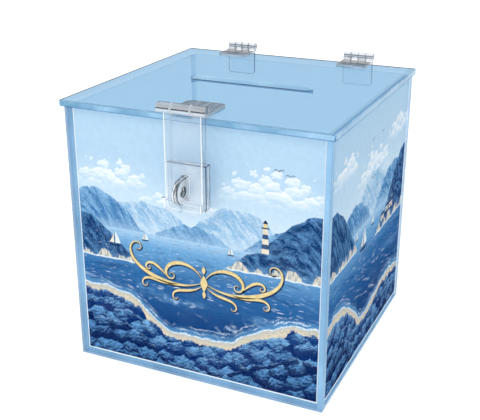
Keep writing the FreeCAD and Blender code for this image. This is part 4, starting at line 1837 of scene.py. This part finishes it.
class Scatter:
    """Geometry node trees for the small strokes that repeat over the print."""

    def __init__(self, name: str, sizes: Mapping[str, float]) -> None:
        """Opens a tree with one named input for each size.

        Args:
            name: The tree's name.
            sizes: Its inputs' names and values; Count and Seed are whole numbers.
        """
        self.tree = bpy.data.node_groups.new(name, "GeometryNodeTree")
        self.sizes = dict(sizes)
        for label in self.sizes:
            kind = "NodeSocketInt" if label in ("Count", "Seed") else "NodeSocketFloat"
            self.tree.interface.new_socket(name=label, in_out="INPUT", socket_type=kind)
        self.tree.interface.new_socket(name="Ink", in_out="INPUT", socket_type="NodeSocketMaterial")
        self.tree.interface.new_socket(name="Geometry", in_out="OUTPUT", socket_type="NodeSocketGeometry")
        self.entry = self.tree.nodes.new("NodeGroupInput")

    def node(self, kind: str, links: Mapping[str, object], **settings: object) -> bpy.types.Node:
        """Adds a node with its inputs.

        Args:
            kind: The node's type name.
            links: Its inputs by name: a socket to join, or a value to set.
            **settings: Properties to set on it first.

        Returns:
            The new node.
        """
        made = self.tree.nodes.new(kind)
        for name, value in settings.items():
            setattr(made, name, value)
        for label, value in links.items():
            self.join(value, next(item for item in made.inputs if item.name == label and item.enabled))
        return made

    def join(self, value: object, socket: bpy.types.NodeSocket) -> None:
        """Joins an output to a socket, or sets the socket's own value."""
        if isinstance(value, bpy.types.NodeSocket):
            self.tree.links.new(value, socket)
        else:
            socket.default_value = value

    def math(self, operation: str, first: object, second: object) -> bpy.types.NodeSocket:
        """Works out one value from two."""
        made = self.node("ShaderNodeMath", {}, operation=operation)
        for socket, value in zip(made.inputs, (first, second)):
            self.join(value, socket)
        return self.out(made)

    def vary(self, low: float, high: float, seed: int) -> bpy.types.NodeSocket:
        """A random value for each point."""
        limits = {"Min": low, "Max": high, "Seed": seed}
        return self.out(self.node("FunctionNodeRandomValue", limits, data_type="FLOAT"))

    def points(self) -> bpy.types.NodeSocket:
        """Random points from the tree's left to its right, and from its foot to its top."""
        low, high = (self.vector(self.given(side), self.given("Depth"), self.given(level))
                     for side, level in (("Left", "Foot"), ("Right", "Top")))
        limits = {"Min": low, "Max": high, "Seed": self.given("Seed")}
        spots = self.node("FunctionNodeRandomValue", limits, data_type="FLOAT_VECTOR")
        inputs = {"Count": self.given("Count"), "Position": self.out(spots)}
        return self.out(self.node("GeometryNodePoints", inputs))

    def given(self, label: str) -> bpy.types.NodeSocket:
        """One of the tree's inputs."""
        return self.entry.outputs[label]

    def out(self, node: bpy.types.Node, label: str = "") -> bpy.types.NodeSocket:
        """A node's named output that is in use, or its first."""
        return next(item for item in node.outputs if item.enabled and label in ("", item.name))

    def vector(self, x: object, y: object, z: object) -> bpy.types.NodeSocket:
        """Joins three values into a vector."""
        return self.out(self.node("ShaderNodeCombineXYZ", {"X": x, "Y": y, "Z": z}))

    def drawn(
        self, wall: Wall, shape: bpy.types.Node, scale: bpy.types.NodeSocket, ink: Ink, name: str
    ) -> None:
        """Sets a shape on every point, closes and evaluates the tree, and puts the result on its wall.

        Args:
            wall: The wall that it goes on.
            shape: The node with the shape.
            scale: The shape's size at each point.
            ink: The ink that it takes.
            name: The piece's name.
        """
        inputs = {"Points": self.points(), "Instance": self.out(shape), "Scale": scale}
        placed = self.node("GeometryNodeInstanceOnPoints", inputs)
        realised = self.node("GeometryNodeRealizeInstances", {"Geometry": self.out(placed)})
        inputs = {"Geometry": self.out(realised), "Material": self.given("Ink")}
        dressed = self.node("GeometryNodeSetMaterial", inputs)
        leave = self.tree.nodes.new("NodeGroupOutput")
        self.tree.links.new(self.out(dressed), leave.inputs["Geometry"])
        holder = bpy.data.objects.new(f"{name}_holder", bpy.data.meshes.new(f"{name}_holder"))
        bpy.context.scene.collection.objects.link(holder)
        modifier = holder.modifiers.new(name, "NODES")
        modifier.node_group = self.tree
        taken = (item for item in self.tree.interface.items_tree if item.in_out == "INPUT")
        keys = {item.name: item.identifier for item in taken}
        for label, value in self.sizes.items():
            modifier[keys[label]] = value
        modifier[keys["Ink"]] = ink.finish().material()
        view = bpy.context.evaluated_depsgraph_get()
        mesh = bpy.data.meshes.new_from_object(holder.evaluated_get(view), depsgraph=view)
        bpy.data.objects.remove(holder)
        mesh.name = name
        mesh.transform(wall.place())
        mesh.update()
        Workshop.piece(name, mesh, wall.node)


@dataclass
class PrintedFilm:
    """One printed film: its white sheet, its picture and the crisp motifs laid over it."""

    wall: Wall
    margin: float = 0.15 * MM
    ink_room: float = 0.12 * MM
    back_room: float = 0.01 * MM
    face: float = -95.0
    horizon: float = 112.0
    sea: tuple[float, float] = (-94.0, 94.0)
    ticks: int = 90
    gulls: int = 5
    seed: int = 4
    foam_foot: float = 66.0
    foam_gap: float = 2.5
    foam_reach: Flat = (2.6, 0.2)
    foam_far: float = 0.34
    gull_levels: Flat = (132.0, 176.0)
    gull_room: float = 16.0
    quill: float = 0.3

    def build(self) -> None:
        """Builds the film and its strokes."""
        node = self.wall.node
        finishes = (FilmBacking("film_white"), CoastPicture("film_picture"))
        Workshop.stand_in(f"{node}_sheet", self.sheet(), node, finishes)
        self.draw_ticks()
        self.draw_gulls()

    def sheet(self) -> bmesh.types.BMesh:
        """Cuts the film, with its picture inside a narrow white margin.

        Returns:
            The film's shape, with slot 1 on the picture.
        """
        low, high = (Vector(corner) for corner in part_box(self.wall.node))
        outward = (self.wall.place().to_3x3() @ Vector((0.0, -1.0, 0.0))).normalized()
        for axis in range(3):
            if outward[axis] < -FACES:
                low[axis] += self.ink_room
                high[axis] -= self.back_room
            elif outward[axis] > FACES:
                high[axis] -= self.ink_room
                low[axis] += self.back_room
        shape = Workshop.block((low + high) / 2.0, high - low)
        picture = [face for face in shape.faces if face.normal.dot(outward) > SQUARE_ON]
        bmesh.ops.inset_region(shape, faces=picture, thickness=self.margin)
        for face in picture:
            face.material_index = 1
        return shape

    def draw_ticks(self) -> None:
        """Scatters short foam strokes over the sea, smaller towards the horizon."""
        far, near = Layer.UNDER.value
        tree = Scatter(f"{self.wall.name.lower()}_foam", {
            "Count": self.ticks, "Seed": self.seed, "Left": self.sea[0], "Right": self.sea[1],
            "Foot": self.foam_foot, "Top": self.horizon - self.foam_gap,
            "Depth": self.face + (far + near) / 2.0, "Thickness": far - near,
        })
        stroke = tree.node("GeometryNodeMeshCylinder", {
            "Vertices": 10, "Radius": 1.0, "Depth": tree.given("Thickness")})
        turned = tree.node("GeometryNodeTransform", {
            "Geometry": tree.out(stroke, "Mesh"), "Rotation": (math.pi / 2.0, 0.0, 0.0)})
        place = tree.node("GeometryNodeInputPosition", {})
        height = tree.node("ShaderNodeSeparateXYZ", {"Vector": tree.out(place)})
        size = tree.node("ShaderNodeMapRange", {
            "Value": tree.out(height, "Z"), "From Min": tree.given("Foot"), "From Max": tree.given("Top"),
            "To Min": 1.0, "To Max": self.foam_far})
        long = tree.math("MULTIPLY", tree.out(size), tree.vary(0.5, 1.25, 11))
        wide, thin = (tree.math("MULTIPLY", long, reach) for reach in self.foam_reach)
        name = f"{self.wall.name.lower()}_foam_strokes"
        tree.drawn(self.wall, turned, tree.vector(wide, 1.0, thin), Ink.FOAM, name)

    def draw_gulls(self) -> None:
        """Scatters a few gulls over the sky."""
        far, near = Layer.MAIN.value
        tree = Scatter(f"{self.wall.name.lower()}_gulls", {
            "Count": self.gulls, "Seed": self.seed + 3,
            "Left": self.sea[0] + self.gull_room, "Right": self.sea[1] - self.gull_room,
            "Foot": self.gull_levels[0], "Top": self.gull_levels[1],
            "Depth": self.face + (far + near) / 2.0, "Thickness": (far - near) / 2.0,
        })
        round_quill = {"Resolution": 6, "Radius": self.quill}
        profile = tree.node("GeometryNodeCurvePrimitiveCircle", round_quill, mode="RADIUS")
        pair = tree.node("GeometryNodeJoinGeometry", {})
        for start, middle, end in (
            ((-4.0, 0.0, 0.4), (-2.2, 0.0, 2.6), (0.0, 0.0, 0.0)),
            ((0.0, 0.0, 0.0), (2.0, 0.0, 2.9), (4.2, 0.0, 1.0)),
        ):
            curve = tree.node("GeometryNodeCurveQuadraticBezier", {
                "Resolution": 10, "Start": start, "Middle": middle, "End": end})
            wing = tree.node("GeometryNodeCurveToMesh", {
                "Curve": tree.out(curve), "Profile Curve": tree.out(profile), "Fill Caps": True})
            tree.join(tree.out(wing), pair.inputs[0])
        flat = tree.math("DIVIDE", tree.given("Thickness"), self.quill)
        pressed = tree.node("GeometryNodeTransform", {
            "Geometry": tree.out(pair), "Scale": tree.vector(1.0, flat, 1.0)})
        spread = tree.vary(0.5, 1.0, 5)
        name = f"{self.wall.name.lower()}_gull_flock"
        tree.drawn(self.wall, pressed, tree.vector(spread, 1.0, spread), Ink.SLATE, name)


@dataclass
class Studio:
    """The pale floor, the soft lamps and the camera."""

    eye: Spot = (0.26135, -0.59466, 0.36097)
    target: Spot = (-0.00831, -0.00101, 0.100)
    lamp_target: Spot = (0.0, 0.0, 0.1)
    lens: float = 65.44
    sensor: float = 36.0
    floor_reach: float = 8.0
    floor_drop: float = 0.2 * MM
    sky: float = 0.9
    right_fall: float = 0.32
    fall_from: float = -0.1
    fall_to: float = 0.7
    clear_bounces: int = 32
    bounces: int = 12
    nearest: float = 0.01

    def build(self) -> None:
        """Sets up the floor, the lamps, the sky and the camera."""
        self.lay_floor()
        self.hang_lamps()
        world = bpy.data.worlds.new("studio_sky")
        world.use_nodes = True
        bench = Bench(world.node_tree)
        sky = world.node_tree.nodes["Background"]
        sky.inputs["Color"].default_value = (1.0, 1.0, 1.0, 1.0)
        to_right = bench.split(bench.wire(bench.node("ShaderNodeTexCoord"), "Generated"))[0]
        fall = bench.smooth(to_right, self.fall_from, self.fall_to) * self.right_fall
        bench.feed(sky.inputs["Strength"], self.sky - fall)
        scene = bpy.context.scene
        scene.world = world
        scene.view_settings.view_transform = "Standard"
        scene.cycles.transparent_max_bounces = self.clear_bounces
        scene.cycles.max_bounces = self.bounces
        self.place_camera()

    def lay_floor(self) -> None:
        """Lays a wide pale floor just below the box."""
        shape = bmesh.new()
        place = Matrix.Translation((0.0, 0.0, -self.floor_drop))
        bmesh.ops.create_grid(shape, x_segments=1, y_segments=1, size=self.floor_reach, matrix=place)
        mesh = bpy.data.meshes.new("studio_floor")
        shape.to_mesh(mesh)
        shape.free()
        mesh.materials.append(FloorPaper("floor_paper").material())
        floor = bpy.data.objects.new("studio_floor", mesh)
        bpy.context.scene.collection.objects.link(floor)

    def hang_lamps(self) -> None:
        """Hangs the key, the fill and the top lamp as large soft panels."""
        for name, spot, size, power in (
            ("key_lamp", (-0.9, -1.9, 1.5), 1.2, 9.0),
            ("fill_lamp", (2.0, -0.5, 1.2), 1.2, 1.0),
            ("top_lamp", (0.0, 0.4, 2.4), 1.6, 11.0),
        ):
            lamp = bpy.data.lights.new(name, "AREA")
            lamp.size = size
            lamp.energy = power
            self.set_up(name, lamp, spot, self.lamp_target)

    def place_camera(self) -> None:
        """Sets the camera where the photograph was taken from."""
        lens = bpy.data.cameras.new("studio_camera")
        lens.lens = self.lens
        lens.sensor_width = self.sensor
        lens.sensor_fit = "HORIZONTAL"
        lens.clip_start = self.nearest
        bpy.context.scene.camera = self.set_up("studio_camera", lens, self.eye, self.target)

    @staticmethod
    def set_up(name: str, data: bpy.types.ID, spot: Spot, target: Spot) -> bpy.types.Object:
        """Puts a lamp or a camera in the scene.

        Args:
            name: Its name.
            data: The lamp or the camera.
            spot: Where it stands.
            target: The point that it is turned to.

        Returns:
            Its object.
        """
        holder = bpy.data.objects.new(name, data)
        holder.location = spot
        holder.rotation_euler = (Vector(target) - Vector(spot)).to_track_quat("-Z", "Y").to_euler()
        bpy.context.scene.collection.objects.link(holder)
        return holder


@dataclass(frozen=True)
class FloorPaper(Finish):
    """White background paper with a very faint tooth, which glows so that shadows on it stay faint."""

    glow: float = 0.74

    def dress(self, bench: Bench) -> None:
        """Lays out the paper."""
        tooth = bench.noise(bench.place(), 0.02, 3.0)
        white = bench.ramp(tooth, ((0.0, screen(186, 186, 186)), (1.0, screen(188, 188, 188))))
        self.close(bench, bench.principled({
            "Specular IOR Level": 0.1, "Emission Strength": self.glow, "Emission Color": (1.0, 1.0, 1.0, 1.0),
            "Base Color": white, "Roughness": 0.8 + tooth * 0.1,
        }))


def draw_motifs() -> None:
    """Draws the crisp motifs of both walls."""
    front = MotifSheet(Wall.FRONT)
    ScrollOrnament().draw(front)
    for motif in (Lighthouse((54.0, 113.0), 1.15), SailBoat((-66.0, 98.0), 1.0),
                  SailBoat((-40.0, 106.0), 0.55), SailBoat((28.0, 107.0), 0.5)):
        motif.draw(front)
    front.finish("front_print_motifs")
    right = MotifSheet(Wall.RIGHT)
    for motif in (Cottage((226.0, 96.0), 1.1), Cottage((238.0, 100.0), 0.95), Cottage((250.0, 99.0), 1.2),
                  SailBoat((176.0, 92.0), 1.5), SailBoat((198.0, 103.0), 0.7), SailBoat((158.0, 104.5), 0.6)):
        motif.draw(right)
    right.finish("right_print_motifs")


def report_sizes() -> None:
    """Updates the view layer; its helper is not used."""
    def plain(box: Iterable[Iterable[float]]) -> list[list[float]]:
        """A box as plain lists of numbers."""
        return [[float(value) for value in corner] for corner in box]

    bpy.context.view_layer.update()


def main() -> None:
    """Builds the box piece by piece, then the studio round it."""
    logging.basicConfig(level=logging.INFO, format="%(name)s: %(message)s")
    AcrylicCase().build()
    SlottedLid().build()
    PrintedFilm(Wall.FRONT).build()
    PrintedFilm(Wall.RIGHT, sea=(140.0, 230.0), ticks=60, gulls=4, seed=9).build()
    draw_motifs()
    for side in ("left", "right"):
        RearHinge(side).build()
    FrontHasp().build()
    Studio().build()
    report_sizes()


if __name__ == "__main__":
    main()
